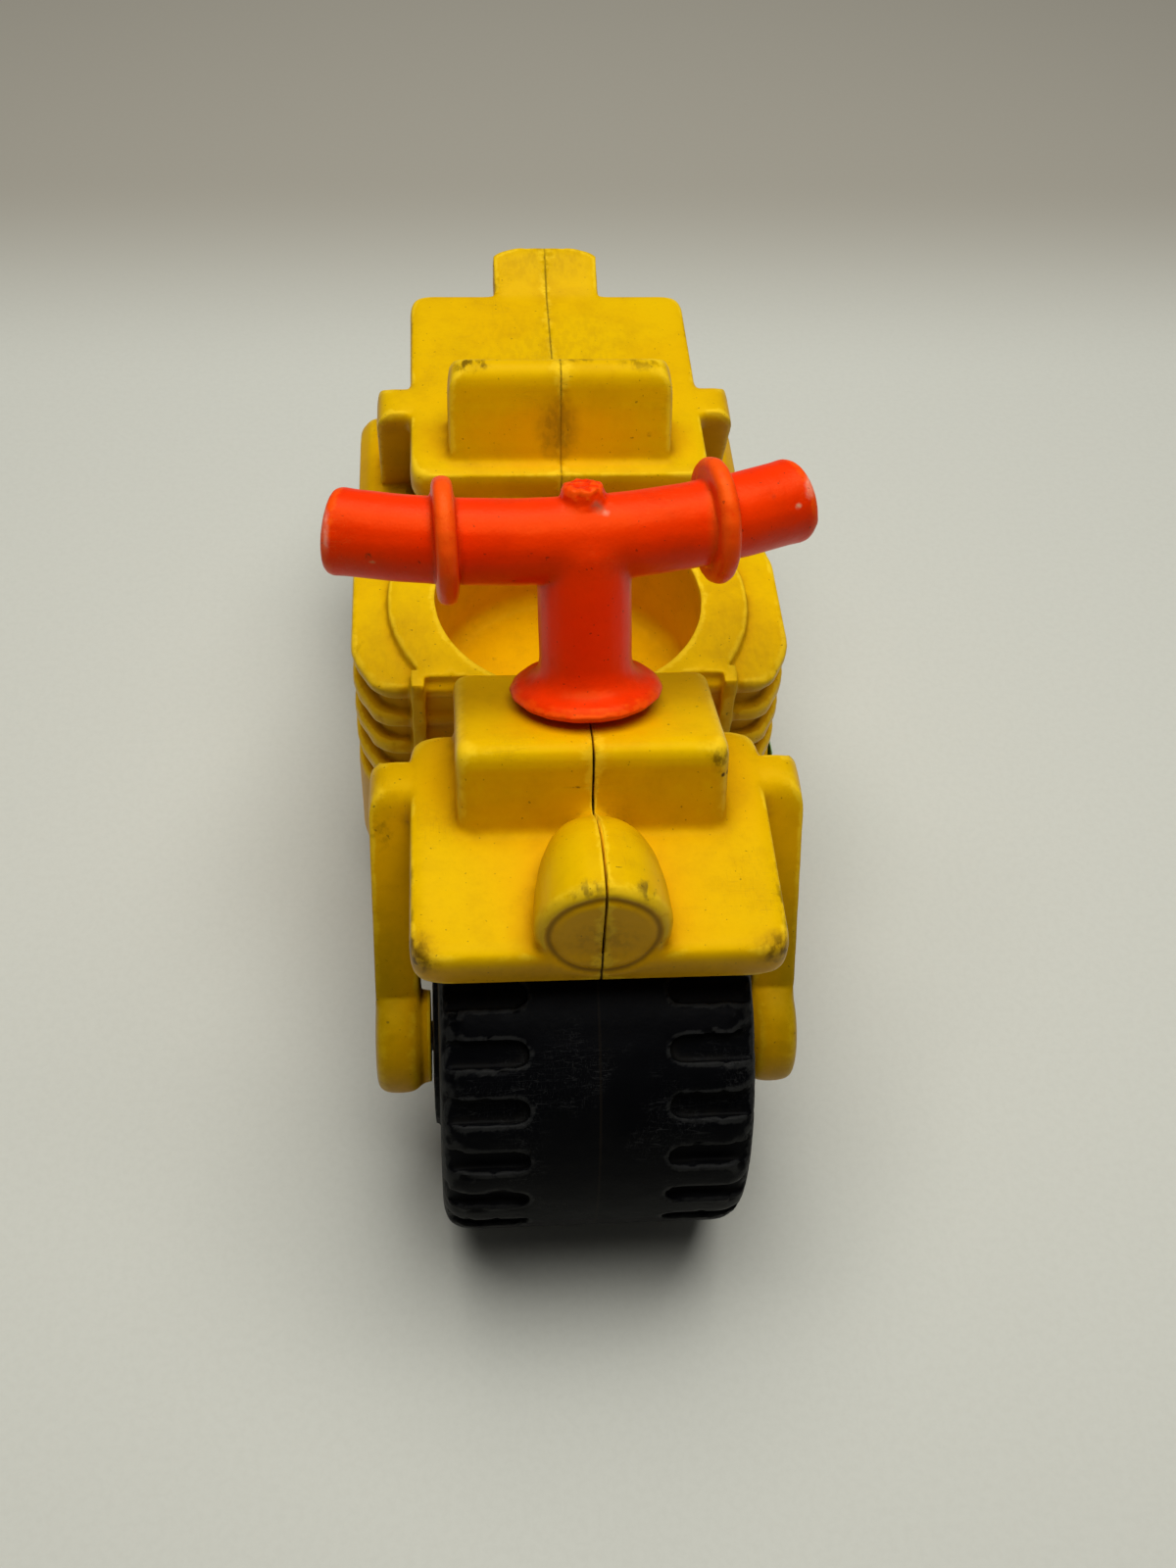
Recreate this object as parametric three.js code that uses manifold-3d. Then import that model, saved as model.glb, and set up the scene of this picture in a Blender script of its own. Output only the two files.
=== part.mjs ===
// A chunky toy motorcycle: a two-half moulded body with a round well for a peg
// figure, a handlebar that turns in the head, and two fat wheels on steel pins.
// Millimetres, +Z up, X across, Y back. Side profiles are drawn with Y counted
// from the front axle; the whole machine is then centred over its footprint.
import * as THREE from 'three';
import { mergeVertices } from 'three/addons/utils/BufferGeometryUtils.js';
import Module from 'manifold-3d';

const wasm = await Module();
wasm.setup();

// Clearances
const RUNNING_CLEARANCE = 0.3; // between pieces that turn on each other
const PIN_CLEARANCE = 0.15; // round a trapped pin or peg
const SEAM_GAP = 0.3; // between the two body halves
const WELD_GAP = 0.1; // between the two halves of a wheel
const WHEEL_ARCH_GAP = 1.8; // round a tyre inside the body
const LAP = 0.5; // how far joined forms of one moulding reach into each other

// Wheels
const WHEEL_RADIUS = 20.4;
const TYRE_WIDTH = 31.2;
const TREAD_WALL = 3.4;
const SIDE_WALL = 2.4;
const SHOULDER_RADIUS = 2.4;
const LUG_COUNT = 22;
const LUG_GROOVE_LENGTH = 8.8;
const LUG_GROOVE_WIDTH = 2.7;
const LUG_GROOVE_DEPTH = 1.2;
const HUB_FLANGE_RADIUS = 9.4;
const HUB_FLANGE_PROUD = 0.7;
const HUB_TUBE_WALL = 2.6;
const AXLE_RADIUS = 1.6;
const WHEELBASE = 85.9;
const WHEEL_TURN = THREE.MathUtils.degToRad(6.2); // how far the wheels have rolled at rest

// Fork and rear legs
const LEG_THICKNESS = 4.75;
const BOSS_RADIUS = 6;
const BOSS_EDGE = 1.2;
const BOSS_SKIN = 1.4; // plastic left outside the end of an axle pin
const COLLAR_RADIUS = 5;
const COLLAR_LENGTH = 1;
const FRONT_LEG_DEPTH = 4.2;
const FRONT_LEG_SETBACK = 14.4; // leg top behind the front axle
const REAR_LEG_DEPTH = 6;
const REAR_LEG_SETBACK = -9.8; // leg top ahead of the rear axle
const LEG_EDGE = 0.5;
const LEG_ROUND = 1.9;
const LEG_SHOULDER = 3; // round of the outer top corner, seen from the front

// Fenders
const FENDER_GAP = 2; // tyre to the underside
const FENDER_THICKNESS = 4.3;
const FENDER_EDGE = 0.9;
const FENDER_CORNER = 2.6; // corners in plan
const FRONT_FENDER_REACH = 9.2; // ahead of the front axle
const FRONT_FENDER_TAIL = 19.5; // behind the front axle
const REAR_FENDER_TAIL = 13.4; // behind the rear axle

// Steering head
const STEER_RAKE = THREE.MathUtils.degToRad(21.3);
const STEER_SETBACK = 18.9; // where the steering axis leaves the head, behind the front axle
const HEAD_RISE = 5; // the same point above the fender tops
const HEAD_WIDTH = 26.9;
const HEAD_AHEAD = 10.3;
const HEAD_BEHIND = 8.5;
const HEAD_DEPTH = 13;
const HEAD_EDGE = 1.1;
const HEAD_ROUND = 1.9;

// Headlight
const LAMP_RISE = 2.7; // lamp axis above the fender tops
const LAMP_RADIUS = 6.6;
const LAMP_REACH = 8.9; // lamp face ahead of the front axle
const LAMP_LENGTH = 15.5;
const LAMP_RIM = 0.9;
const LENS_BEZEL = 0.1; // flat between the rim and the groove
const LENS_GROOVE = 0.65; // its width and its depth

// Engine block with its cooling fins
const WELL_OFFSET = 2.15; // well centre behind the middle of the wheelbase
const ENGINE_WIDTH = 49.9;
const ENGINE_LENGTH = 26.8;
const ENGINE_CORNER_X = 3;
const ENGINE_CORNER_Y = 5.7;
const ENGINE_CLEARANCE = 9.5; // ground to the underside
const ENGINE_EDGE = 1.2;
const LEDGE_DROP = 5.7; // top fin below the fender tops
const FIN_COUNT = 4;
const FIN_PITCH = 4.55;
const FIN_THICKNESS = 1.9;
const FIN_DEPTH = 1.1;
const FIN_EDGE = 0.35;
const SHELL_WALL = 2;
const RIB_INSET = 6.8; // front ribs inside the engine's flanks
const RIB_WIDTH = 1.5;
const RIB_PROUD = 0.8;

// Figure well
const WELL_RADIUS = 15.4;
const WELL_DEPTH = 15.2;
const WELL_FLOOR_ROUND = 1.2;
const RIM_WIDTH = 5.5; // round the well
const RIM_RISE = 1.2; // rim above the top fin
const RIM_EDGE = 0.5;
const RIM_FLAT_SETBACK = 0.6; // rim's flat front behind the fins' front

// Seat deck, backrest and tail
const DECK_GAP = 0.8; // well edge to the front of the deck
const BACKREST_WIDTH = 26.9;
const BACKREST_SETBACK = 2.4; // foot behind the front of the deck
const BACKREST_HEIGHT = 10;
const BACKREST_LEAN = THREE.MathUtils.degToRad(25); // of its front face
const BACKREST_TOP = 3.2; // thickness along its top
const BACKREST_CORNER = 3;
const BACKREST_EDGE = 0.7;
const BACKREST_ROUND = 1.6;
const REAR_FRAME_WIDTH = 32;
const TAIL_LAMP_WIDTH = 13.9;
const TAIL_LAMP_REACH = 7.4; // behind the rear fender
const TAIL_LAMP_RISE = 3; // at its rear edge, above the fender
const TAIL_LAMP_ARCH = 14.5; // plan radius of its rear face
const TAIL_LAMP_EDGE = 0.5;
const TAIL_LAMP_ROUND = 1.6;
const TAIL_LAMP_ROOT = 2.4; // how far it starts inside the fender

// Side boxes moulded round the rear legs
const SIDE_BOX_WIDTH = 50.8; // over both boxes
const SIDE_BOX_LENGTH = 29;
const SIDE_BOX_HEIGHT = 16;
const SIDE_BOX_TOP = 31.4;
const SIDE_BOX_TAIL = 9.6; // behind the rear axle
const SIDE_BOX_CORNER = 4;
const SIDE_BOX_EDGE = 1.6;

// Locating pegs across the seam
const PEG_RADIUS = 1.8;
const PEG_LENGTH = 4;
const PEG_HEIGHT = 36; // peg centre above the ground

// Handlebar
const STEER_TURN = THREE.MathUtils.degToRad(6.1); // as it stands at rest
const STEER_LEAN = THREE.MathUtils.degToRad(-1.75); // slack of the stem in its socket
const STEM_RADIUS = 3.9;
const STEM_LENGTH = 4.5; // inside the head
const STEM_FOOT_LIP = 1.4; // foot out past the stem
const STEM_FOOT_HEIGHT = 2.2;
const FLANGE_GAP = 0.9; // head to the underside of the flange
const FLANGE_RADIUS = 7.85;
const FLANGE_THICKNESS = 1.6;
const FLANGE_FILLET = 2.4; // hollow between the flange and the post
const POST_RADIUS = 4.7;
const BAR_HEIGHT = 17.5; // bar centre above the head, along the post
const BAR_RADIUS = 4.25;
const BAR_LEFT_REACH = 24.2; // middle to the left end, across
const BAR_RIGHT_REACH = 22.6; // the right grip is worn shorter
const BAR_SWEEP_BACK = 4.4; // left end behind the middle
const BAR_SWEEP_UP = 1.3; // left end above the middle
const BAR_END_LENGTH = 1.8;
const BAR_END_BEAD = 0.08; // how far the end stands out round the bar
const BAR_END_EDGE = 0.7;
const GRIP_COLLAR_SPAN = 26.8; // between the collars, across
const GRIP_COLLAR_RADIUS = 6.3;
const GRIP_COLLAR_WIDTH = 2.1;
const GRIP_COLLAR_EDGE = 0.8;
const GRIP_COLLAR_TURN = THREE.MathUtils.degToRad(4); // each collar off square to the middle
const GATE_RADIUS = 2.9; // moulding gate at its foot
const GATE_TOP_RADIUS = 2.1;
const GATE_PROUD = 1.4;

// Label on the right flank
const LABEL_LENGTH = 14.6;
const LABEL_HEIGHT = 9.5;
const LABEL_CORNER = 1;
const LABEL_THICKNESS = 0.25;
const LABEL_GLUE = 0.1;
const LABEL_DROP = 0.4; // label top below the top of the crankcase

// Facets
const ROUND_SEGMENTS = 44; // round a wheel or the well
const SMALL_ROUND_SEGMENTS = 9; // per half turn of a boss, bar or pin
const CORNER_SEGMENTS = 3;
const BEVEL_SEGMENTS = 2;
const SHOULDER_SEGMENTS = 2;
const SWEEP_STEPS = 8;
const MERGE_DISTANCE = 1e-4; // vertices closer than this are one

// Colours and finishes
const YELLOW = 0xf0b800;
const RED = 0xe02c06;
const BLACK = 0x101113;
const GREEN = 0x2f8f3a;
const STEEL = 0xb4b6b8;
const SATIN = 0.4;
const MATT = 0.55;
const POLISHED = 0.35;

// Side profiles are drawn in (y, z) and face along x
const PROFILE_TO_SIDE = new THREE.Matrix4().makeBasis(
  new THREE.Vector3(0, 1, 0),
  new THREE.Vector3(0, 0, 1),
  new THREE.Vector3(1, 0, 0),
);

// Places that follow from the sizes above
const FRONT_AXLE = { y: 0, z: WHEEL_RADIUS };
const REAR_AXLE = { y: WHEELBASE, z: WHEEL_RADIUS };
const LEG_INNER = TYRE_WIDTH / 2 + HUB_FLANGE_PROUD + RUNNING_CLEARANCE + COLLAR_LENGTH;
const LEG_OUTER = LEG_INNER + LEG_THICKNESS;
const FENDER_WIDTH = 2 * (LEG_INNER + LAP);
const FENDER_BOTTOM = 2 * WHEEL_RADIUS + FENDER_GAP;
const FENDER_TOP = FENDER_BOTTOM + FENDER_THICKNESS;
const WHEEL_ARCH_RADIUS = WHEEL_RADIUS + WHEEL_ARCH_GAP;
const HEAD_TOP = FENDER_TOP + HEAD_RISE;
const WELL_SETBACK = WHEELBASE / 2 + WELL_OFFSET;
const ENGINE_FRONT = WELL_SETBACK - ENGINE_LENGTH / 2;
const LEDGE_HEIGHT = FENDER_TOP - LEDGE_DROP;
const ENGINE_REAR = WELL_SETBACK + ENGINE_LENGTH / 2;
const CRANKCASE_TOP = LEDGE_HEIGHT - FIN_COUNT * FIN_PITCH;
const RIM_TOP = LEDGE_HEIGHT + RIM_RISE;
const RIM_RADIUS = WELL_RADIUS + RIM_WIDTH;
const WELL_FLOOR = RIM_TOP - WELL_DEPTH;
const DECK_FRONT = WELL_SETBACK + WELL_RADIUS + DECK_GAP;
const REAR_FENDER_END = WHEELBASE + REAR_FENDER_TAIL;
const TAIL_END = REAR_FENDER_END + TAIL_LAMP_REACH;
const AXLE_HALF_LENGTH = LEG_OUTER - BOSS_SKIN;
const BORE_RADIUS = AXLE_RADIUS + RUNNING_CLEARANCE;
const LENS_RADIUS = LAMP_RADIUS - LAMP_RIM - LENS_BEZEL - LENS_GROOVE;
const STEM_FOOT_RADIUS = STEM_RADIUS + STEM_FOOT_LIP;
const MACHINE_FRONT = -WHEEL_RADIUS;
const MACHINE_REAR = Math.max(TAIL_END, WHEELBASE + WHEEL_RADIUS);
const FAR = 200; // beyond every face, for cutting half spaces

// Turn a closed three.js geometry into a solid that can be joined and cut.
function solid(geometry) {
  const bare = geometry.index ? geometry.toNonIndexed() : geometry.clone();
  bare.deleteAttribute('normal');
  bare.deleteAttribute('uv');
  const merged = mergeVertices(bare, MERGE_DISTANCE);
  const mesh = new wasm.Mesh({
    numProp: 3,
    vertProperties: new Float32Array(merged.attributes.position.array),
    triVerts: new Uint32Array(merged.index.array),
  });
  return new wasm.Manifold(mesh);
}

// Turn a solid back into a geometry with flat faces.
function geometryOf(body) {
  const mesh = body.getMesh();
  const geometry = new THREE.BufferGeometry();
  const places = new Float32Array(mesh.vertProperties);
  geometry.setAttribute('position', new THREE.BufferAttribute(places, 3));
  geometry.setIndex(new THREE.BufferAttribute(new Uint32Array(mesh.triVerts), 1));
  geometry.computeVertexNormals();
  return geometry;
}

function join(bodies) {
  return bodies.reduce((sum, body) => sum.add(body));
}

// A closed outline through [x, y, radius] corners, each rounded by its radius.
function roundedOutline(corners) {
  const shape = new THREE.Shape();
  corners.forEach(([x, y, radius], i) => {
    const at = new THREE.Vector2(x, y);
    const [px, py] = corners[(i + corners.length - 1) % corners.length];
    const [nx, ny] = corners[(i + 1) % corners.length];
    const before = new THREE.Vector2(px, py).sub(at).setLength(radius).add(at);
    const after = new THREE.Vector2(nx, ny).sub(at).setLength(radius).add(at);
    if (i === 0) shape.moveTo(before.x, before.y);
    else shape.lineTo(before.x, before.y);
    if (radius > 0) shape.quadraticCurveTo(x, y, after.x, after.y);
  });
  shape.closePath();
  return shape;
}

function circleOutline(x, y, radius) {
  return new THREE.Shape().absarc(x, y, radius, 0, 2 * Math.PI);
}

// Low and high of a span that runs from inner to outer on one side.
function sideSpan(side, inner, outer) {
  return side > 0 ? [inner, outer] : [-outer, -inner];
}

// Extrude an outline from low to high along local Z, its rims rounded by edge.
function extruded(outline, low, high, edge = 0, facets = {}) {
  const geometry = new THREE.ExtrudeGeometry(outline, {
    depth: high - low - 2 * edge,
    bevelEnabled: edge > 0,
    bevelThickness: edge,
    bevelSize: edge,
    bevelOffset: -edge,
    bevelSegments: facets.bevel ?? BEVEL_SEGMENTS,
    curveSegments: facets.curve ?? CORNER_SEGMENTS,
  });
  return geometry.translate(0, 0, low + edge);
}

// Revolve [radius, height] points about local Y.
function revolved(points, segments) {
  const outline = points.map(([radius, height]) => new THREE.Vector2(radius, height));
  return new THREE.LatheGeometry(outline, segments);
}

// A side profile in (y, z), extruded across from x = low to x = high.
function acrossX(outline, low, high, edge = 0, facets = {}) {
  return solid(extruded(outline, low, high, edge, facets).applyMatrix4(PROFILE_TO_SIDE));
}

// A front view outline in (x, z), extruded from y = low to y = high.
function frontal(outline, low, high) {
  return solid(extruded(outline, -high, -low).rotateX(Math.PI / 2));
}

// A plan outline in (x, y), extruded from z = low to z = high.
function upright(outline, low, high, edge = 0, facets = {}) {
  return solid(extruded(outline, low, high, edge, facets));
}

function barX({ y, z }, radius, low, high, edge = 0) {
  return acrossX(circleOutline(y, z, radius), low, high, edge, { curve: SMALL_ROUND_SEGMENTS });
}

function box(x0, x1, y0, y1, z0, z1) {
  const geometry = new THREE.BoxGeometry(x1 - x0, y1 - y0, z1 - z0);
  return solid(geometry.translate((x0 + x1) / 2, (y0 + y1) / 2, (z0 + z1) / 2));
}

// The frame of the steering axis: local Z runs up the post, local Y back.
function steeringFrame() {
  const frame = new THREE.Object3D();
  frame.position.set(0, STEER_SETBACK, HEAD_TOP);
  frame.rotation.x = -STEER_RAKE;
  frame.updateMatrix();
  return frame.matrix;
}

// A revolved solid about the steering axis, from [radius, height] points.
function aboutSteering(points) {
  const geometry = revolved(points, 2 * SMALL_ROUND_SEGMENTS);
  return solid(geometry.rotateX(Math.PI / 2).applyMatrix4(steeringFrame()));
}

// A fender plate: a plan rectangle with round corners and soft rims.
function fenderPlate(front, rear) {
  const half = FENDER_WIDTH / 2;
  const outline = roundedOutline([
    [-half, front, FENDER_CORNER],
    [half, front, FENDER_CORNER],
    [half, rear, FENDER_CORNER],
    [-half, rear, FENDER_CORNER],
  ]);
  return upright(outline, FENDER_BOTTOM, FENDER_TOP, FENDER_EDGE);
}

function steeringHead() {
  const outline = roundedOutline([
    [-HEAD_AHEAD, -HEAD_DEPTH, 0],
    [HEAD_BEHIND, -HEAD_DEPTH, 0],
    [HEAD_BEHIND, 0, HEAD_ROUND],
    [-HEAD_AHEAD, 0, HEAD_ROUND],
  ]);
  const block = extruded(outline, -HEAD_WIDTH / 2, HEAD_WIDTH / 2, HEAD_EDGE);
  return solid(block.applyMatrix4(PROFILE_TO_SIDE).applyMatrix4(steeringFrame()));
}

// The neck joins the head to the engine behind the front wheel.
function neck() {
  const half = HEAD_WIDTH / 2 - HEAD_EDGE;
  const bottom = ENGINE_CLEARANCE + 2 * LAP;
  return box(-half, half, 0, ENGINE_FRONT + 2 * LAP, bottom, RIM_TOP - RIM_EDGE);
}

function rearFrame() {
  const half = REAR_FRAME_WIDTH / 2;
  const bottom = ENGINE_CLEARANCE + 2 * LAP;
  return box(-half, half, ENGINE_REAR - 2 * LAP, WHEELBASE, bottom, FENDER_BOTTOM + LAP);
}

// A bullet lamp revolved about Y, with a groove round its flat lens.
function headlight() {
  const points = [
    [0, 0],
    [LENS_RADIUS, 0],
    [LENS_RADIUS, LENS_GROOVE],
    [LENS_RADIUS + LENS_GROOVE, LENS_GROOVE],
    [LENS_RADIUS + LENS_GROOVE, 0],
    [LAMP_RADIUS - LAMP_RIM, 0],
    [LAMP_RADIUS, LAMP_RIM],
  ];
  const steps = 2 * CORNER_SEGMENTS;
  for (let i = 1; i <= steps; i += 1) {
    const turn = (i / steps) * (Math.PI / 2);
    const depth = LAMP_RIM + (LAMP_LENGTH - LAMP_RIM) * Math.sin(turn);
    points.push([LAMP_RADIUS * Math.cos(turn), depth]);
  }
  points[points.length - 1][0] = 0;
  const bullet = revolved(points, ROUND_SEGMENTS / 2);
  const lamp = solid(bullet.translate(0, -LAMP_REACH, FENDER_TOP + LAMP_RISE));
  return lamp.subtract(box(-FAR, FAR, -FAR, FAR, -FAR, FENDER_BOTTOM + LAP));
}

// Plan of the engine: a box with its four corners cut off, drawn in by inset.
function enginePlan(inset) {
  const x = ENGINE_WIDTH / 2 - inset;
  const front = ENGINE_FRONT + inset;
  const rear = ENGINE_REAR - inset;
  return roundedOutline([
    [x - ENGINE_CORNER_X, front, ENGINE_EDGE],
    [x, front + ENGINE_CORNER_Y, ENGINE_EDGE],
    [x, rear - ENGINE_CORNER_Y, ENGINE_EDGE],
    [x - ENGINE_CORNER_X, rear, ENGINE_EDGE],
    [-x + ENGINE_CORNER_X, rear, ENGINE_EDGE],
    [-x, rear - ENGINE_CORNER_Y, ENGINE_EDGE],
    [-x, front + ENGINE_CORNER_Y, ENGINE_EDGE],
    [-x + ENGINE_CORNER_X, front, ENGINE_EDGE],
  ]);
}

function engine() {
  const facets = { curve: 1, bevel: 1 };
  const slab = (low, high) => upright(enginePlan(0), low, high, FIN_EDGE, facets);
  const crankcase = slab(ENGINE_CLEARANCE, CRANKCASE_TOP);
  const core = upright(enginePlan(FIN_DEPTH), CRANKCASE_TOP - LAP, LEDGE_HEIGHT - LAP, 0, facets);
  const fins = [];
  for (let i = 0; i < FIN_COUNT; i += 1) {
    const top = LEDGE_HEIGHT - i * FIN_PITCH;
    fins.push(slab(top - FIN_THICKNESS, top));
  }
  return join([crankcase, core, ...fins]);
}

// The rim round the well, flat in front beside the head.
function wellRim() {
  const ring = circleOutline(0, WELL_SETBACK, RIM_RADIUS);
  const rim = upright(ring, WELL_FLOOR, RIM_TOP, RIM_EDGE, { curve: ROUND_SEGMENTS / 2 });
  const flat = ENGINE_FRONT + RIM_FLAT_SETBACK;
  const beside = HEAD_WIDTH / 2 - HEAD_EDGE - LAP;
  const cutRight = box(beside, FAR, -FAR, flat, -FAR, FAR);
  const cutLeft = box(-FAR, -beside, -FAR, flat, -FAR, FAR);
  return rim.subtract(cutRight).subtract(cutLeft);
}

function frontRib(side) {
  const outer = ENGINE_WIDTH / 2 - RIB_INSET;
  const [low, high] = sideSpan(side, outer - RIB_WIDTH, outer);
  const front = ENGINE_FRONT - RIB_PROUD;
  const back = ENGINE_FRONT + RIM_FLAT_SETBACK + FIN_DEPTH;
  return box(low, high, front, back, CRANKCASE_TOP - LAP, RIM_TOP);
}

// The cup that the figure stands in, its floor edge rounded.
function wellCut() {
  const points = [
    [0, WELL_FLOOR],
    [WELL_RADIUS - WELL_FLOOR_ROUND, WELL_FLOOR],
    [WELL_RADIUS, WELL_FLOOR + WELL_FLOOR_ROUND],
    [WELL_RADIUS, RIM_TOP + FAR],
    [0, RIM_TOP + FAR],
  ];
  const cup = revolved(points, ROUND_SEGMENTS).rotateX(Math.PI / 2);
  return solid(cup.translate(0, WELL_SETBACK, 0));
}

// The space inside the engine shell, round and under the cup.
function engineHollow() {
  const plan = enginePlan(FIN_DEPTH + SHELL_WALL);
  const floor = ENGINE_CLEARANCE + SHELL_WALL;
  const space = upright(plan, floor, LEDGE_HEIGHT - SHELL_WALL, 0, { curve: 1 });
  const cupWall = circleOutline(0, WELL_SETBACK, WELL_RADIUS + SHELL_WALL);
  const facets = { curve: SMALL_ROUND_SEGMENTS };
  return space.subtract(upright(cupWall, WELL_FLOOR - SHELL_WALL, LEDGE_HEIGHT, 0, facets));
}

// The backrest leans back in front and drops straight behind.
function backrest() {
  const foot = DECK_FRONT + BACKREST_SETBACK;
  const top = FENDER_TOP + BACKREST_HEIGHT;
  const root = FENDER_TOP - FENDER_THICKNESS / 2;
  const lean = Math.tan(BACKREST_LEAN);
  const crest = foot + BACKREST_HEIGHT * lean;
  const back = crest + BACKREST_TOP;
  const half = BACKREST_WIDTH / 2;
  const side = roundedOutline([
    [foot - (FENDER_TOP - root) * lean, root, 0],
    [back, root, 0],
    [back, top, BACKREST_ROUND],
    [crest, top, BACKREST_ROUND],
  ]);
  const face = roundedOutline([
    [-half, root - LAP, 0],
    [half, root - LAP, 0],
    [half, top, BACKREST_CORNER],
    [-half, top, BACKREST_CORNER],
  ]);
  return acrossX(side, -half, half, BACKREST_EDGE).intersect(frontal(face, 0, FAR));
}

// A tail lamp whose top slopes up to a rear face that is arched in plan.
function tailLamp() {
  const half = TAIL_LAMP_WIDTH / 2;
  const root = REAR_FENDER_END - TAIL_LAMP_ROOT;
  const side = roundedOutline([
    [root, FENDER_BOTTOM + LAP, 0],
    [TAIL_END, FENDER_BOTTOM + LAP, TAIL_LAMP_ROUND],
    [TAIL_END, FENDER_TOP + TAIL_LAMP_RISE, TAIL_LAMP_ROUND],
    [root, FENDER_TOP - LAP, 0],
  ]);
  const wedge = acrossX(side, -half, half, TAIL_LAMP_EDGE);
  const arch = circleOutline(0, TAIL_END - TAIL_LAMP_ARCH, TAIL_LAMP_ARCH);
  return wedge.intersect(upright(arch, 0, FAR, 0, { curve: ROUND_SEGMENTS / 2 }));
}

// A flat leg that leans from its axle to the level of the fender tops.
function leg(side, axle, setback, depth) {
  const rake = Math.atan2(setback, FENDER_TOP - axle.z);
  const half = depth / 2 / Math.cos(rake);
  const [low, high] = sideSpan(side, LEG_INNER, LEG_OUTER);
  const outline = roundedOutline([
    [axle.y - half, axle.z, 0],
    [axle.y + half, axle.z, 0],
    [axle.y + setback + half, FENDER_TOP, LEG_ROUND],
    [axle.y + setback - half, FENDER_TOP, LEG_ROUND],
  ]);
  const face = roundedOutline([
    [-LEG_OUTER, 0, 0],
    [LEG_OUTER, 0, 0],
    [LEG_OUTER, FENDER_TOP, LEG_SHOULDER],
    [-LEG_OUTER, FENDER_TOP, LEG_SHOULDER],
  ]);
  const blade = acrossX(outline, low, high, LEG_EDGE).intersect(frontal(face, -FAR, FAR));
  const boss = barX(axle, BOSS_RADIUS, low, high, BOSS_EDGE);
  const collarSpan = sideSpan(side, LEG_INNER - COLLAR_LENGTH, LEG_INNER + BOSS_EDGE);
  return join([blade, boss, barX(axle, COLLAR_RADIUS, ...collarSpan)]);
}

function sideBox(side) {
  const rear = WHEELBASE + SIDE_BOX_TAIL;
  const front = rear - SIDE_BOX_LENGTH;
  const bottom = SIDE_BOX_TOP - SIDE_BOX_HEIGHT;
  const span = sideSpan(side, LEG_INNER, SIDE_BOX_WIDTH / 2);
  const outline = roundedOutline([
    [front, bottom, SIDE_BOX_CORNER],
    [rear, bottom, SIDE_BOX_CORNER],
    [rear, SIDE_BOX_TOP, SIDE_BOX_CORNER],
    [front, SIDE_BOX_TOP, SIDE_BOX_CORNER],
  ]);
  return acrossX(outline, ...span, SIDE_BOX_EDGE, { bevel: 1 });
}

// The hole in the head that traps the handlebar's stem and foot.
function stemSocket() {
  const stem = STEM_RADIUS + RUNNING_CLEARANCE;
  const foot = STEM_FOOT_RADIUS + RUNNING_CLEARANCE;
  const shelf = -STEM_LENGTH + RUNNING_CLEARANCE;
  const floor = -STEM_LENGTH - STEM_FOOT_HEIGHT - RUNNING_CLEARANCE;
  return aboutSteering([
    [0, floor],
    [foot, floor],
    [foot, shelf],
    [stem, shelf],
    [stem, FLANGE_GAP],
    [0, FLANGE_GAP],
  ]);
}

// A peg stands midway between the well and each wheel arch.
function pegPlaces() {
  const rise = PEG_HEIGHT - WHEEL_RADIUS;
  const arch = Math.sqrt(WHEEL_ARCH_RADIUS ** 2 - rise ** 2);
  const front = (arch + WELL_SETBACK - WELL_RADIUS) / 2;
  const rear = (WHEELBASE - arch + WELL_SETBACK + WELL_RADIUS) / 2;
  return [{ y: front, z: PEG_HEIGHT }, { y: rear, z: PEG_HEIGHT }];
}

// The whole body moulding, before it is split into its two halves.
function wholeBody() {
  const frontFender = fenderPlate(-FRONT_FENDER_REACH, FRONT_FENDER_TAIL);
  const deck = fenderPlate(DECK_FRONT, REAR_FENDER_END); // runs back over the rear wheel
  const frame = [steeringHead(), neck(), rearFrame(), engine(), wellRim()];
  const trim = [headlight(), backrest(), tailLamp(), frontRib(1), frontRib(-1)];
  let body = join([frontFender, deck, ...frame, ...trim]);
  for (const axle of [FRONT_AXLE, REAR_AXLE]) {
    const arch = circleOutline(axle.y, axle.z, WHEEL_ARCH_RADIUS);
    body = body.subtract(acrossX(arch, -LEG_INNER, LEG_INNER, 0, { curve: ROUND_SEGMENTS / 2 }));
  }
  body = body.subtract(engineHollow()).subtract(wellCut()).subtract(stemSocket());
  for (const side of [1, -1]) {
    body = body.add(leg(side, FRONT_AXLE, FRONT_LEG_SETBACK, FRONT_LEG_DEPTH));
    body = body.add(leg(side, REAR_AXLE, REAR_LEG_SETBACK, REAR_LEG_DEPTH));
    body = body.add(sideBox(side));
  }
  for (const axle of [FRONT_AXLE, REAR_AXLE]) {
    const half = AXLE_HALF_LENGTH + PIN_CLEARANCE;
    body = body.subtract(barX(axle, AXLE_RADIUS + PIN_CLEARANCE, -half, half));
  }
  return body;
}

// The left half carries the locating pegs, the right half their holes.
function bodyHalves() {
  const body = wholeBody();
  let left = body.intersect(box(-FAR, -SEAM_GAP / 2, -FAR, FAR, -FAR, FAR));
  let right = body.intersect(box(SEAM_GAP / 2, FAR, -FAR, FAR, -FAR, FAR));
  for (const place of pegPlaces()) {
    const hole = PEG_RADIUS + PIN_CLEARANCE;
    left = left.add(barX(place, PEG_RADIUS, -PEG_LENGTH, PEG_LENGTH));
    right = right.subtract(barX(place, hole, -PEG_LENGTH, PEG_LENGTH + PIN_CLEARANCE));
  }
  return { left: geometryOf(left), right: geometryOf(right) };
}

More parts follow.
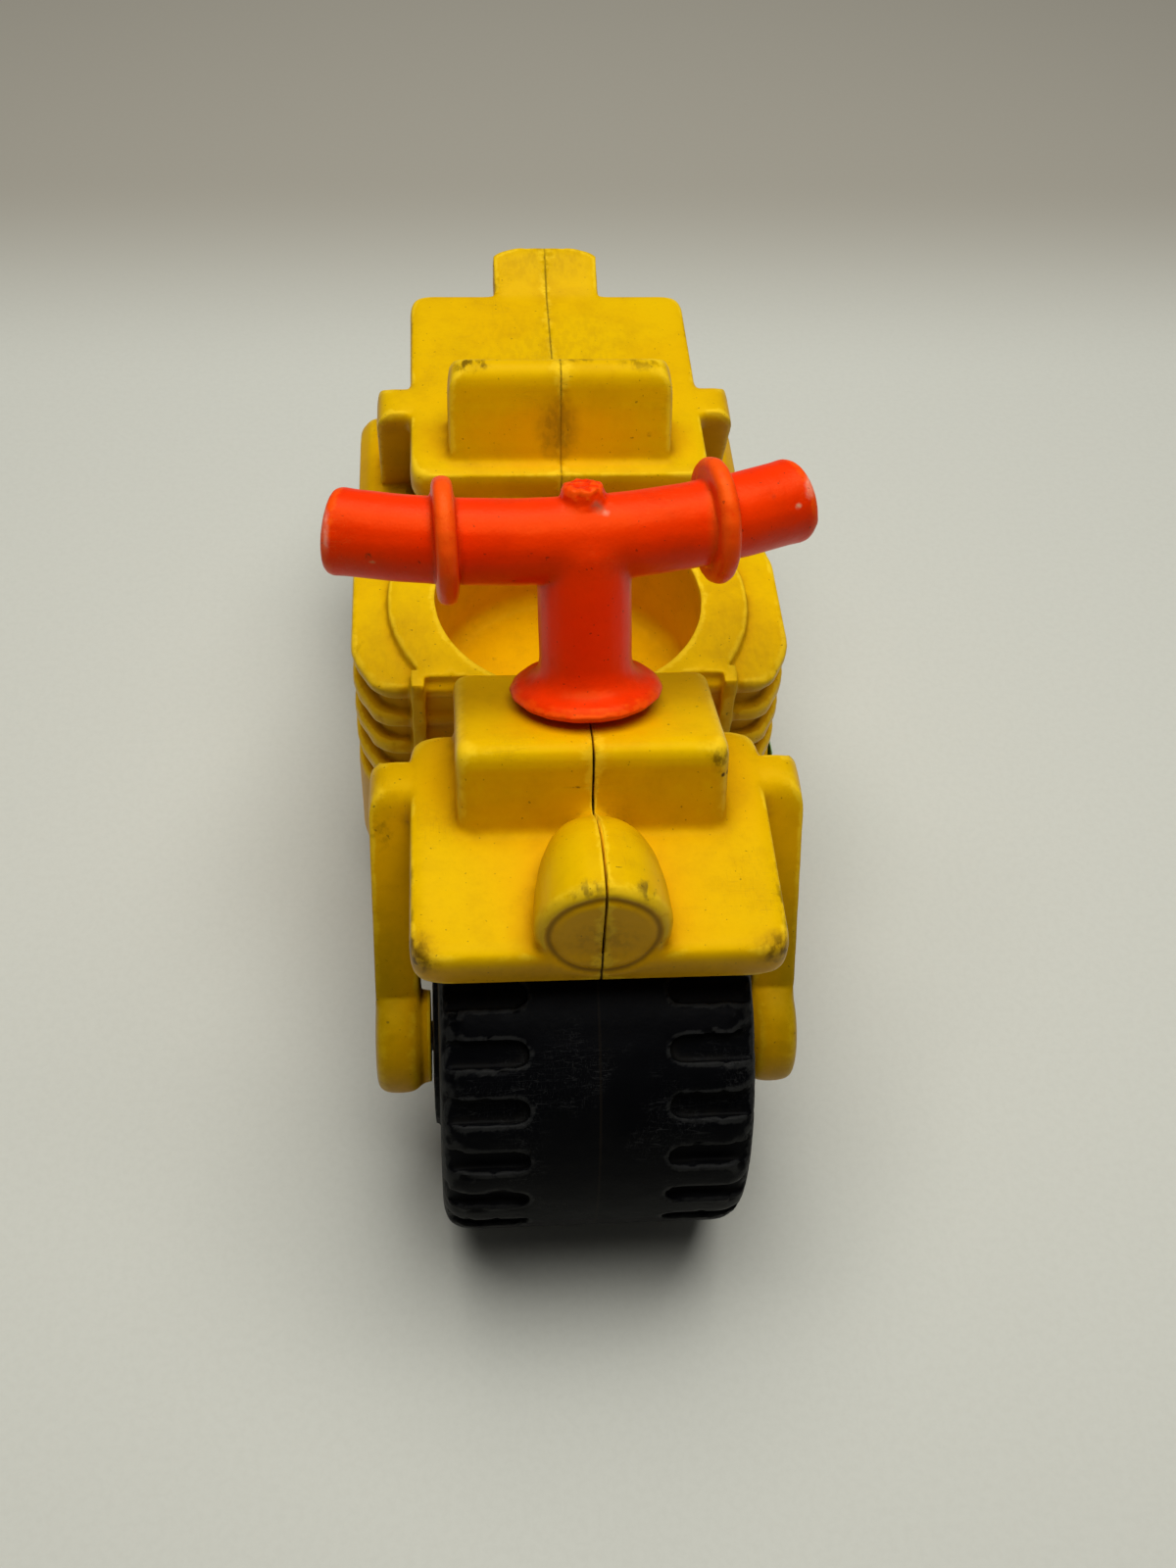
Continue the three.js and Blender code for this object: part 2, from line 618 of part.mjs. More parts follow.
// Half of a solid wheel on local Y, from the parting line to the hub flange.
function wheelHalfBlank() {
  const side = TYRE_WIDTH / 2;
  const face = side + HUB_FLANGE_PROUD;
  const points = [[0, WELD_GAP / 2], [WHEEL_RADIUS, WELD_GAP / 2]];
  for (let i = 0; i <= SHOULDER_SEGMENTS; i += 1) {
    const turn = (i / SHOULDER_SEGMENTS) * (Math.PI / 2);
    const lift = SHOULDER_RADIUS * (1 - Math.cos(turn));
    const reach = SHOULDER_RADIUS * (1 - Math.sin(turn));
    points.push([WHEEL_RADIUS - lift, side - reach]);
  }
  points.push([0, side]);
  const tyre = solid(revolved(points, ROUND_SEGMENTS).rotateZ(-Math.PI / 2));
  return tyre.add(barX({ y: 0, z: 0 }, HUB_FLANGE_RADIUS, side - LAP, face));
}

// The bore, and the ring of space between the hub tube and the tread.
function wheelHollows() {
  const tube = BORE_RADIUS + HUB_TUBE_WALL;
  const tread = WHEEL_RADIUS - TREAD_WALL;
  const inside = TYRE_WIDTH / 2 - SIDE_WALL;
  const ring = [[tube, -LAP], [tread, -LAP], [tread, inside], [tube, inside], [tube, -LAP]];
  const space = revolved(ring, 2 * SMALL_ROUND_SEGMENTS).rotateZ(-Math.PI / 2);
  return join([solid(space), barX({ y: 0, z: 0 }, BORE_RADIUS, -LAP, TYRE_WIDTH)]);
}

// One groove between two lugs: round at its inner end, open at the shoulder.
function lugGroove() {
  const half = LUG_GROOVE_WIDTH / 2;
  const side = TYRE_WIDTH / 2;
  const end = side - LUG_GROOVE_LENGTH + half;
  const outline = new THREE.Shape();
  outline.moveTo(side + LAP, -half);
  outline.lineTo(side + LAP, half);
  outline.lineTo(end, half);
  outline.absarc(end, 0, half, Math.PI / 2, 1.5 * Math.PI);
  outline.closePath();
  const facets = { curve: BEVEL_SEGMENTS };
  return extruded(outline, WHEEL_RADIUS - LUG_GROOVE_DEPTH, WHEEL_RADIUS + LAP, 0, facets);
}

function wheelHalf() {
  let half = wheelHalfBlank().subtract(wheelHollows());
  for (let i = 0; i < LUG_COUNT; i += 1) {
    half = half.subtract(solid(lugGroove().rotateX((2 * Math.PI * i) / LUG_COUNT)));
  }
  return geometryOf(half);
}

// Where the bar's centre runs, at a distance across from its middle.
function barPoint(across) {
  const share = (across / BAR_LEFT_REACH) ** 2;
  return new THREE.Vector3(across, BAR_SWEEP_BACK * share, BAR_HEIGHT + BAR_SWEEP_UP * share);
}

// The swept line of the handlebar, in the frame of the steering axis.
class BarLine extends THREE.Curve {
  constructor(left, right) {
    super();
    this.left = left;
    this.right = right;
  }

  getPoint(t, target = new THREE.Vector3()) {
    return target.copy(barPoint(THREE.MathUtils.lerp(this.left, this.right, t)));
  }
}

// A disc round the bar, at a distance across from its middle, facing along an axis.
function barDisc(across, axis, radius, width, edge) {
  const facets = { curve: SMALL_ROUND_SEGMENTS };
  const disc = extruded(circleOutline(0, 0, radius), -width / 2, width / 2, edge, facets);
  const turn = new THREE.Quaternion().setFromUnitVectors(new THREE.Vector3(0, 0, 1), axis);
  const centre = barPoint(across);
  return solid(disc.applyQuaternion(turn).translate(centre.x, centre.y, centre.z));
}

// The post, from the foot in the head up to the bar.
function handlebarPost() {
  const foot = -STEM_LENGTH - STEM_FOOT_HEIGHT;
  const lip = FLANGE_THICKNESS / 2;
  const points = [
    [0, foot],
    [STEM_FOOT_RADIUS, foot],
    [STEM_FOOT_RADIUS, -STEM_LENGTH],
    [STEM_RADIUS, -STEM_LENGTH],
    [STEM_RADIUS, FLANGE_GAP],
    [FLANGE_RADIUS - lip, FLANGE_GAP],
    [FLANGE_RADIUS, FLANGE_GAP + lip],
  ];
  for (let i = 0; i <= CORNER_SEGMENTS; i += 1) {
    const turn = (i / CORNER_SEGMENTS) * (Math.PI / 2);
    const out = FLANGE_FILLET * (1 - Math.sin(turn));
    const up = FLANGE_FILLET * (1 - Math.cos(turn));
    points.push([POST_RADIUS + out, FLANGE_GAP + FLANGE_THICKNESS + up]);
  }
  points.push([POST_RADIUS, BAR_HEIGHT], [0, BAR_HEIGHT]);
  return solid(revolved(points, 2 * SMALL_ROUND_SEGMENTS).rotateX(Math.PI / 2));
}

// The stub that the moulding gate leaves on top of the bar.
function gateStub() {
  const height = BAR_RADIUS + GATE_PROUD;
  const stub = new THREE.CylinderGeometry(
    GATE_TOP_RADIUS,
    GATE_RADIUS,
    height,
    2 * SMALL_ROUND_SEGMENTS,
  );
  return solid(stub.rotateX(Math.PI / 2).translate(0, 0, BAR_HEIGHT + height / 2));
}

function handlebar() {
  const left = -BAR_LEFT_REACH + BAR_END_LENGTH / 2;
  const right = BAR_RIGHT_REACH - BAR_END_LENGTH / 2;
  const line = new BarLine(left, right);
  const tube = new THREE.ExtrudeGeometry(circleOutline(0, 0, BAR_RADIUS), {
    extrudePath: line,
    steps: SWEEP_STEPS,
    curveSegments: SMALL_ROUND_SEGMENTS,
  });
  const forms = [handlebarPost(), solid(tube), gateStub()];
  const endRadius = BAR_RADIUS + BAR_END_BEAD;
  for (const [side, end, t] of [[-1, left, 0], [1, right, 1]]) {
    const across = side * GRIP_COLLAR_SPAN / 2;
    const square = new THREE.Vector3(Math.cos(GRIP_COLLAR_TURN), side * Math.sin(GRIP_COLLAR_TURN), 0);
    forms.push(barDisc(across, square, GRIP_COLLAR_RADIUS, GRIP_COLLAR_WIDTH, GRIP_COLLAR_EDGE));
    forms.push(barDisc(end, line.getTangent(t), endRadius, BAR_END_LENGTH, BAR_END_EDGE));
  }
  return geometryOf(join(forms));
}

function label() {
  const outline = roundedOutline([
    [0, 0, LABEL_CORNER],
    [LABEL_LENGTH, 0, LABEL_CORNER],
    [LABEL_LENGTH, LABEL_HEIGHT, LABEL_CORNER],
    [0, LABEL_HEIGHT, LABEL_CORNER],
  ]);
  return extruded(outline, 0, LABEL_THICKNESS).applyMatrix4(PROFILE_TO_SIDE);
}

function plastic(color, roughness) {
  return new THREE.MeshStandardMaterial({ color, roughness, metalness: 0 });
}

function named(name, geometry, material) {
  const mesh = new THREE.Mesh(geometry, material);
  mesh.name = name;
  return mesh;
}

function axlePin() {
  const length = 2 * AXLE_HALF_LENGTH;
  return new THREE.CylinderGeometry(AXLE_RADIUS, AXLE_RADIUS, length, 2 * SMALL_ROUND_SEGMENTS);
}

// The two wheels: each a pair of hollow halves on a steel pin.
function addWheels(machine) {
  for (const [end, axle] of [['front', FRONT_AXLE], ['rear', REAR_AXLE]]) {
    const right = named(`${end}_wheel_right_half`, wheelHalf(), plastic(BLACK, MATT));
    const left = named(`${end}_wheel_left_half`, wheelHalf(), plastic(BLACK, MATT));
    right.rotation.x = WHEEL_TURN;
    left.rotation.set(WHEEL_TURN, 0, Math.PI);
    const wire = new THREE.MeshStandardMaterial({ color: STEEL, roughness: POLISHED, metalness: 1 });
    const pin = named(`${end}_axle`, axlePin(), wire);
    pin.rotation.z = Math.PI / 2;
    for (const mesh of [right, left, pin]) {
      mesh.position.set(0, axle.y, axle.z);
      machine.add(mesh);
    }
  }
}

function addHandlebar(machine) {
  const head = new THREE.Group();
  head.position.set(0, STEER_SETBACK, HEAD_TOP);
  head.rotation.x = -STEER_RAKE;
  const bar = named('handlebar', handlebar(), plastic(RED, SATIN));
  bar.rotation.set(0, STEER_LEAN, STEER_TURN);
  head.add(bar);
  machine.add(head);
}

function addBody(machine) {
  const halves = bodyHalves();
  machine.add(named('left_body_half', halves.left, plastic(YELLOW, SATIN)));
  machine.add(named('right_body_half', halves.right, plastic(YELLOW, SATIN)));
  const sticker = named('right_flank_label', label(), plastic(GREEN, MATT));
  const low = CRANKCASE_TOP - LABEL_DROP - LABEL_HEIGHT;
  sticker.position.set(ENGINE_WIDTH / 2 + LABEL_GLUE, WELL_SETBACK - LABEL_LENGTH / 2, low);
  machine.add(sticker);
}

function toyMotorcycle() {
  const root = new THREE.Group();
  const machine = new THREE.Group();
  machine.position.y = -(MACHINE_FRONT + MACHINE_REAR) / 2;
  addBody(machine);
  addHandlebar(machine);
  addWheels(machine);
  root.add(machine);
  return root;
}

export default toyMotorcycle();
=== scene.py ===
"""Looks of a worn toy motorcycle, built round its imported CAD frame.

The mouldings are softened copies of their CAD nodes, cut along the seam, and
carry per-vertex masks for edges and crevices that the shaders read. Lengths in
the classes are millimetres; the scene itself is in metres.
"""

import logging
import math
from dataclasses import dataclass
from enum import Enum
from typing import Sequence

import bmesh
import bpy
import numpy as np
from mathutils import Matrix, Vector, noise


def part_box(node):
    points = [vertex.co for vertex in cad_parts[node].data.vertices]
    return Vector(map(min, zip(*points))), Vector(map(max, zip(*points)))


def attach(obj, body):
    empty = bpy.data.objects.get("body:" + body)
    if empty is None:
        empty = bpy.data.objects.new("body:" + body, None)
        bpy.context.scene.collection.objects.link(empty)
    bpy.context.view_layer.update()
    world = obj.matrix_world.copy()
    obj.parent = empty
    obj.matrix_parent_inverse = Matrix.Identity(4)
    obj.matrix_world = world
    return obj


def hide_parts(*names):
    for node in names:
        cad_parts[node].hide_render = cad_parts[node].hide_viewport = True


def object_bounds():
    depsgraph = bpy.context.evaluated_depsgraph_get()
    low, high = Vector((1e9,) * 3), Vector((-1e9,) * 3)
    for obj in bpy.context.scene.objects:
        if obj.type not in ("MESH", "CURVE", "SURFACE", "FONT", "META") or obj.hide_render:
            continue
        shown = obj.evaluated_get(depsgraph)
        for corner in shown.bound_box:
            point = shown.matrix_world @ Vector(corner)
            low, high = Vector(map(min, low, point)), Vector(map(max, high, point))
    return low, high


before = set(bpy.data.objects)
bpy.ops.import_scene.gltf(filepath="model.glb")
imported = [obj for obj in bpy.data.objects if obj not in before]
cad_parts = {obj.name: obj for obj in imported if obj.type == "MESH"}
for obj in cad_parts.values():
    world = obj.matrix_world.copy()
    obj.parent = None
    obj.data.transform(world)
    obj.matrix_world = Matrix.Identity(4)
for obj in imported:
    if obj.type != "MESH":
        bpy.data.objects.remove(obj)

CAD_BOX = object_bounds()
MM = 0.001
Point = tuple[float, float, float]
Colour = tuple[float, float, float]
Socket = bpy.types.NodeSocket

logging.basicConfig(level=logging.INFO, format="%(levelname)s %(message)s")
LOG = logging.getLogger("toy")


class Body(Enum):
    """CAD bodies that a visible piece can ride on."""

    CHASSIS = "chassis"
    HANDLEBAR = "handlebar"
    FRONT_WHEEL = "front_wheel"
    REAR_WHEEL = "rear_wheel"


class Slot(Enum):
    """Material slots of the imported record."""

    YELLOW = "yellow_plastic"
    RED = "red_plastic"
    BLACK = "black_plastic"
    STEEL = "pin_steel"
    GREEN = "green_label"


class Side(Enum):
    """The two sides of the seam; the value is the sign of x."""

    LEFT = -1
    RIGHT = 1


class Mask(Enum):
    """Names of the per-vertex masks that the shaders read."""

    EDGE = "edge_mask"
    CREVICE = "crevice_mask"
    SHELTER = "shelter_mask"


# Shader graphs


class Pattern(Enum):
    """Noises: features per millimetre, octaves and share of the finer octaves."""

    RUBBED = (0.9, 4.0, 0.65)
    PATCHES = (0.16, 5.0, 0.62)
    CREVICES = (0.5, 3.0, 0.55)
    SWIRL = (0.9, 5.0, 0.65)
    STROKES = (1.3, 3.0, 0.55)
    HAIRLINES = (2.2, 2.0, 0.5)
    SCRATCHED = (0.11, 2.0, 0.55)
    SKIN = (3.2, 3.0, 0.55)
    WAVES = (0.35, 2.0, 0.55)
    RING = (0.8, 3.0, 0.55)
    FILM = (0.22, 5.0, 0.65)
    MOTTLE = (1.6, 4.0, 0.7)
    SPECKS = (2.1, 1.0, 0.5)
    DRIFT = (0.06, 3.0, 0.55)
    UNEVEN = (0.4, 4.0, 0.55)
    SEAM = (0.6, 4.0, 0.7)
    STAIN = (0.3, 3.0, 0.55)
    DOTS = (0.9, 3.0, 0.55)
    PAPER = (1.1, 4.0, 0.7)


class Span(Enum):
    """Ranges of a value that a shader maps to 0..1."""

    RUBBED = (0.22, 0.5)
    PATCHES = (0.5, 0.78)
    CREVICES = (0.25, 0.7)
    SCUFF = (0.25, 1.0)
    HOLES = (0.6, 0.42)
    HAIRLINE = (0.0, 0.014)
    SCRATCHED = (0.5, 0.66)
    FILM = (0.42, 0.72)
    MOTTLE = (0.45, 0.8)
    SPECKS = (0.735, 0.78)
    DRIFT = (0.3, 0.7)
    SHELTER = (0.05, 0.6)
    BESIDE_SEAM = (0.0, 2.2)
    STAIN = (0.4, 0.75)
    DOTS = (0.3, 0.55)
    AHEAD = (-16.0, -22.0)
    PAPER = (0.35, 0.7)


class Graph:
    """A short way to write a node tree."""

    def __init__(self, tree: bpy.types.NodeTree) -> None:
        """Wrap a tree.

        Args:
            tree: the node tree to add to.
        """
        self.tree = tree

    def add(self, kind: str, **settings: object) -> bpy.types.Node:
        """Add a node.

        Args:
            kind: the node's type name.
            **settings: attributes to set on it.

        Returns:
            The new node.
        """
        node = self.tree.nodes.new(kind)
        for name, value in settings.items():
            setattr(node, name, value)
        return node

    def feed(self, socket: Socket, value: object) -> None:
        """Link a socket into another, or set its constant.

        Args:
            socket: the input to feed.
            value: an output socket or a constant.
        """
        if isinstance(value, bpy.types.NodeSocket):
            self.tree.links.new(value, socket)
        elif isinstance(value, tuple) and len(value) == 3 and socket.type == "RGBA":
            socket.default_value = (*value, 1.0)
        else:
            socket.default_value = value

    def math(self, operation: str, a: object, b: object = 0.0, clamp: bool = False) -> Socket:
        """Add a maths node.

        Args:
            operation: Blender's name of the operation.
            a: first value or socket.
            b: second value or socket.
            clamp: whether the result stays within 0 to 1.

        Returns:
            The result.
        """
        node = self.add("ShaderNodeMath", operation=operation, use_clamp=clamp)
        self.feed(node.inputs[0], a)
        self.feed(node.inputs[1], b)
        return node.outputs[0]

    def times(self, a: object, b: object) -> Socket:
        """Multiply two values.

        Args:
            a: first value or socket.
            b: second value or socket.

        Returns:
            The product.
        """
        return self.math("MULTIPLY", a, b)

    def rest(self, value: object) -> Socket:
        """Take a value from one.

        Args:
            value: a value or socket.

        Returns:
            One less the value.
        """
        return self.math("SUBTRACT", 1.0, value)

    def vector(self, operation: str, a: object, b: object) -> bpy.types.Node:
        """Add a vector maths node.

        Args:
            operation: Blender's name of the operation.
            a: first vector.
            b: second vector.

        Returns:
            The node, whose outputs are a vector and a value.
        """
        node = self.add("ShaderNodeVectorMath", operation=operation)
        self.feed(node.inputs[0], a)
        self.feed(node.inputs[1], b)
        return node

    def span(self, value: object, low: object, high: object) -> Socket:
        """Map low..high to 0..1 with a smooth step.

        Args:
            value: what is mapped.
            low: value that gives 0.
            high: value that gives 1.

        Returns:
            The mapped value.
        """
        node = self.add("ShaderNodeMapRange", interpolation_type="SMOOTHSTEP")
        for name, part in (("Value", value), ("From Min", low), ("From Max", high)):
            self.feed(node.inputs[name], part)
        return node.outputs[0]

    def mix(self, share: object, a: object, b: object) -> Socket:
        """Blend two colours.

        Args:
            share: how much of b.
            a: first colour.
            b: second colour.

        Returns:
            The blend.
        """
        node = self.add("ShaderNodeMix", data_type="RGBA")
        self.feed(node.inputs["Factor"], share)
        self.feed(node.inputs[6], a)
        self.feed(node.inputs[7], b)
        return node.outputs[2]

    def noise(self, place: Socket, pattern: Pattern) -> Socket:
        """Add a noise texture.

        Args:
            place: coordinates in millimetres.
            pattern: the kind of noise.

        Returns:
            The noise, 0 to 1.
        """
        node = self.add("ShaderNodeTexNoise")
        self.feed(node.inputs["Vector"], place)
        for name, value in zip(("Scale", "Detail", "Roughness"), pattern.value):
            self.feed(node.inputs[name], value)
        return node.outputs[0]

    def blotches(self, place: Socket, pattern: Pattern, span: Span) -> Socket:
        """Add a noise whose range is stretched to clear and full.

        Args:
            place: coordinates in millimetres.
            pattern: the kind of noise.
            span: the range that becomes 0 to 1.

        Returns:
            The blotches, 0 to 1.
        """
        return self.span(self.noise(place, pattern), *span.value)

    def mask(self, mask: Mask) -> Socket:
        """Read a per-vertex mask.

        Args:
            mask: which one.

        Returns:
            The mask, 0 to 1.
        """
        return self.add("ShaderNodeAttribute", attribute_name=mask.value).outputs["Fac"]

    def place(self) -> Socket:
        """Read the place on the object.

        Returns:
            Object coordinates in millimetres.
        """
        where = self.add("ShaderNodeTexCoord").outputs["Object"]
        return self.vector("MULTIPLY", where, (1 / MM, 1 / MM, 1 / MM)).outputs[0]

    def part(self, place: Socket, axis: str) -> Socket:
        """Take one part of a vector.

        Args:
            place: the vector.
            axis: X, Y or Z.

        Returns:
            That part.
        """
        node = self.add("ShaderNodeSeparateXYZ")
        self.feed(node.inputs[0], place)
        return node.outputs[axis]

    def group(self, tree: bpy.types.NodeTree, **values: object) -> Socket:
        """Add a group and feed its named sockets.

        Args:
            tree: the group.
            **values: its inputs by name.

        Returns:
            Its first output.
        """
        node = self.add("ShaderNodeGroup", node_tree=tree)
        for name, value in values.items():
            self.feed(node.inputs[name], value)
        return node.outputs[0]


VECTORS = ("Place", "Centre", "Size")  # group inputs that are vectors
ORIGIN: Point = (0.0, 0.0, 0.0)
ACROSS: Point = (1.0, 0.0, 1.0)  # what a ring round a Y axis keeps of an offset
STROKE: Point = (1.0, 0.4, 0.8)  # how the holes in a scuff are drawn out
HAIRS: tuple[Point, Point] = ((0.09, 1.1, 0.5), (1.2, 0.14, 0.6))
NOISE_MIDDLE = 0.5
PATCH_SHARE = 0.16
SKIN_SHARE = 0.25
MOTTLE_SHARE = 0.5
RING_LEAST, RING_UNEVEN = 0.6, 0.7  # shares of a ring's width


class Effects:
    """Shared surface effects as node groups, each made once."""

    def __init__(self) -> None:
        """Make the groups."""
        self.wear_and_highlight = self._wear_and_highlight()
        self.grime_and_crease_shade = self._grime_and_crease_shade()
        self.scuff = self._scuff()
        self.scratches = self._scratches()
        self.grain = self._grain()
        self.ring = self._ring()
        self.specks = self._specks()
        self.film = self._film()

    @staticmethod
    def _started(name: str, *labels: str) -> tuple[Graph, dict[str, Socket]]:
        """Start a group with named sockets and one value output.

        Args:
            name: the group's name.
            *labels: its inputs, values apart from those in VECTORS.

        Returns:
            The graph and its inputs by name.
        """
        tree = bpy.data.node_groups.new(name, "ShaderNodeTree")
        for label in labels:
            kind = "NodeSocketVector" if label in VECTORS else "NodeSocketFloat"
            tree.interface.new_socket(label, in_out="INPUT", socket_type=kind)
        tree.interface.new_socket("Value", in_out="OUTPUT", socket_type="NodeSocketFloat")
        graph = Graph(tree)
        entry = graph.add("NodeGroupInput")
        return graph, {label: entry.outputs[label] for label in labels}

    @staticmethod
    def _ended(graph: Graph, value: Socket) -> bpy.types.NodeTree:
        """Give a group its output.

        Args:
            graph: the group's graph.
            value: what it puts out.

        Returns:
            The group.
        """
        graph.feed(graph.add("NodeGroupOutput").inputs[0], value)
        return graph.tree

    def _wear_and_highlight(self) -> bpy.types.NodeTree:
        """Rubbed edges and painted edge highlights: an edge mask broken up by noise.

        Returns:
            The group, with inputs Place, Edge and Amount.
        """
        graph, given = self._started("edge_wear_and_highlight", "Place", "Edge", "Amount")
        broken = graph.times(given["Edge"], graph.noise(given["Place"], Pattern.RUBBED))
        worn_and_lit = graph.span(broken, *Span.RUBBED.value)
        return self._ended(graph, graph.times(worn_and_lit, given["Amount"]))

    def _grime_and_crease_shade(self) -> bpy.types.NodeTree:
        """Dirt and painted crease shade in crevices, and dirt in faint patches.

        Returns:
            The group, with inputs Place, Crevice and Amount.
        """
        graph, given = self._started("grime_and_crease_shade", "Place", "Crevice", "Amount")
        patch = graph.blotches(given["Place"], Pattern.PATCHES, Span.PATCHES)
        gathers = graph.blotches(given["Place"], Pattern.CREVICES, Span.CREVICES)
        deep = graph.times(given["Crevice"], gathers)
        total = graph.math("ADD", deep, graph.times(patch, PATCH_SHARE), clamp=True)
        return self._ended(graph, graph.times(total, given["Amount"]))

    def _scuff(self) -> bpy.types.NodeTree:
        """One rubbed or dirty spot, an ellipsoid with a ragged rim.

        Returns:
            The group, with inputs Place, Centre, Size, Ragged and Broken.
        """
        graph, given = self._started("scuff", "Place", "Centre", "Size", "Ragged", "Broken")
        offset = graph.vector("SUBTRACT", given["Place"], given["Centre"]).outputs[0]
        scaled = graph.vector("DIVIDE", offset, given["Size"]).outputs[0]
        away = graph.vector("LENGTH", scaled, ORIGIN).outputs["Value"]
        swirl = graph.math("SUBTRACT", graph.noise(given["Place"], Pattern.SWIRL), NOISE_MIDDLE)
        edge = graph.math("ADD", away, graph.times(swirl, given["Ragged"]))
        core = graph.rest(graph.span(edge, *Span.SCUFF.value))
        strokes = graph.vector("MULTIPLY", given["Place"], STROKE).outputs[0]
        holes = graph.blotches(strokes, Pattern.STROKES, Span.HOLES)
        kept = graph.rest(graph.times(holes, given["Broken"]))
        return self._ended(graph, graph.times(core, kept))

    def _scratches(self) -> bpy.types.NodeTree:
        """Fine hairline scratches from two stretched noises.

        Returns:
            The group, with inputs Place and Amount.
        """
        graph, given = self._started("scratches", "Place", "Amount")
        lines = []
        for stretch in HAIRS:
            place = graph.vector("MULTIPLY", given["Place"], stretch).outputs[0]
            value = graph.noise(place, Pattern.HAIRLINES)
            ridge = graph.math("ABSOLUTE", graph.math("SUBTRACT", value, NOISE_MIDDLE))
            lines.append(graph.rest(graph.span(ridge, *Span.HAIRLINE.value)))
        here = graph.blotches(given["Place"], Pattern.SCRATCHED, Span.SCRATCHED)
        shown = graph.times(graph.math("MAXIMUM", *lines), here)
        return self._ended(graph, graph.times(shown, given["Amount"]))

    def _grain(self) -> bpy.types.NodeTree:
        """Height of the slightly uneven moulded skin.

        Returns:
            The group, with inputs Place and Amount.
        """
        graph, given = self._started("grain", "Place", "Amount")
        fine = graph.times(graph.noise(given["Place"], Pattern.SKIN), SKIN_SHARE)
        total = graph.math("ADD", fine, graph.noise(given["Place"], Pattern.WAVES))
        return self._ended(graph, graph.times(total, given["Amount"]))

    def _ring(self) -> bpy.types.NodeTree:
        """A ring round a Y axis, on faces near its centre.

        Returns:
            The group, with inputs Place, Centre, Radius, Width and Depth.
        """
        graph, given = self._started("ring", "Place", "Centre", "Radius", "Width", "Depth")
        offset = graph.vector("SUBTRACT", given["Place"], given["Centre"]).outputs[0]
        flat = graph.vector("MULTIPLY", offset, ACROSS).outputs[0]
        away = graph.vector("LENGTH", flat, ORIGIN).outputs["Value"]
        off = graph.math("ABSOLUTE", graph.math("SUBTRACT", away, given["Radius"]))
        uneven = graph.times(graph.noise(given["Place"], Pattern.RING), RING_UNEVEN)
        width = graph.times(given["Width"], graph.math("ADD", RING_LEAST, uneven))
        band = graph.rest(graph.span(off, 0.0, width))
        depth = graph.math("ABSOLUTE", graph.part(offset, "Y"))
        near = graph.math("LESS_THAN", depth, given["Depth"])
        return self._ended(graph, graph.times(band, near))

    def _film(self) -> bpy.types.NodeTree:
        """A thin mottled film of dirt, coarse and fine.

        Returns:
            The group, with inputs Place and Amount.
        """
        graph, given = self._started("film", "Place", "Amount")
        coarse = graph.blotches(given["Place"], Pattern.FILM, Span.FILM)
        fine = graph.blotches(given["Place"], Pattern.MOTTLE, Span.MOTTLE)
        total = graph.math("ADD", coarse, graph.times(fine, MOTTLE_SHARE))
        return self._ended(graph, graph.times(total, given["Amount"]))

    def _specks(self) -> bpy.types.NodeTree:
        """Sparse fine specks of dirt.

        Returns:
            The group, with inputs Place and Amount.
        """
        graph, given = self._started("specks", "Place", "Amount")
        dots = graph.blotches(given["Place"], Pattern.SPECKS, Span.SPECKS)
        return self._ended(graph, graph.times(dots, given["Amount"]))


@dataclass(frozen=True)
class Spot:
    """A rubbed or dirty place on a moulding, in the row frame."""

    centre: Point
    size: Point
    colour: Colour
    strength: float
    ragged: float = 0.9
    broken: float = 0.85

    def over(self, graph: Graph, effects: Effects, place: Socket, colour: Socket) -> Socket:
        """Lay the spot over a colour.

        Args:
            graph: the material's graph.
            effects: the shared node groups.
            place: coordinates in millimetres.
            colour: the colour below.

        Returns:
            The colour with the spot.
        """
        mask = graph.group(
            effects.scuff,
            Place=place,
            Centre=self.centre,
            Size=self.size,
            Ragged=self.ragged,
            Broken=self.broken,
        )
        return graph.mix(graph.times(mask, self.strength), colour, self.colour)


@dataclass(frozen=True)
class Ring:
    """A dark ring of painted shade round an axis that runs front to back, in the row frame."""

    centre: Point
    radius: float
    width: float
    colour: Colour
    strength: float
    depth: float = 1.2

    def over(self, graph: Graph, effects: Effects, place: Socket, colour: Socket) -> Socket:
        """Lay the ring over a colour.

        Args:
            graph: the material's graph.
            effects: the shared node groups.
            place: coordinates in millimetres.
            colour: the colour below.

        Returns:
            The colour with the ring.
        """
        mask = graph.group(
            effects.ring,
            Place=place,
            Centre=self.centre,
            Radius=self.radius,
            Width=self.width,
            Depth=self.depth,
        )
        return graph.mix(graph.times(mask, self.strength), colour, self.colour)


DIRT_ROUGHNESS = 0.25
UNEVEN_ROUGHNESS = 0.12
BUMP_HEIGHT = 0.1
SCRATCH_DEPTH = 0.3  # share of the bump's height
SEAM_LEAST, SEAM_UNEVEN = 0.06, 0.22  # half width of the seam's line, in millimetres
SEAM_CORE = 0.5  # share of the line that is full
SEAM_BEHIND = 0.5  # strength of the dots behind the head
SEAM_STAIN = 0.3


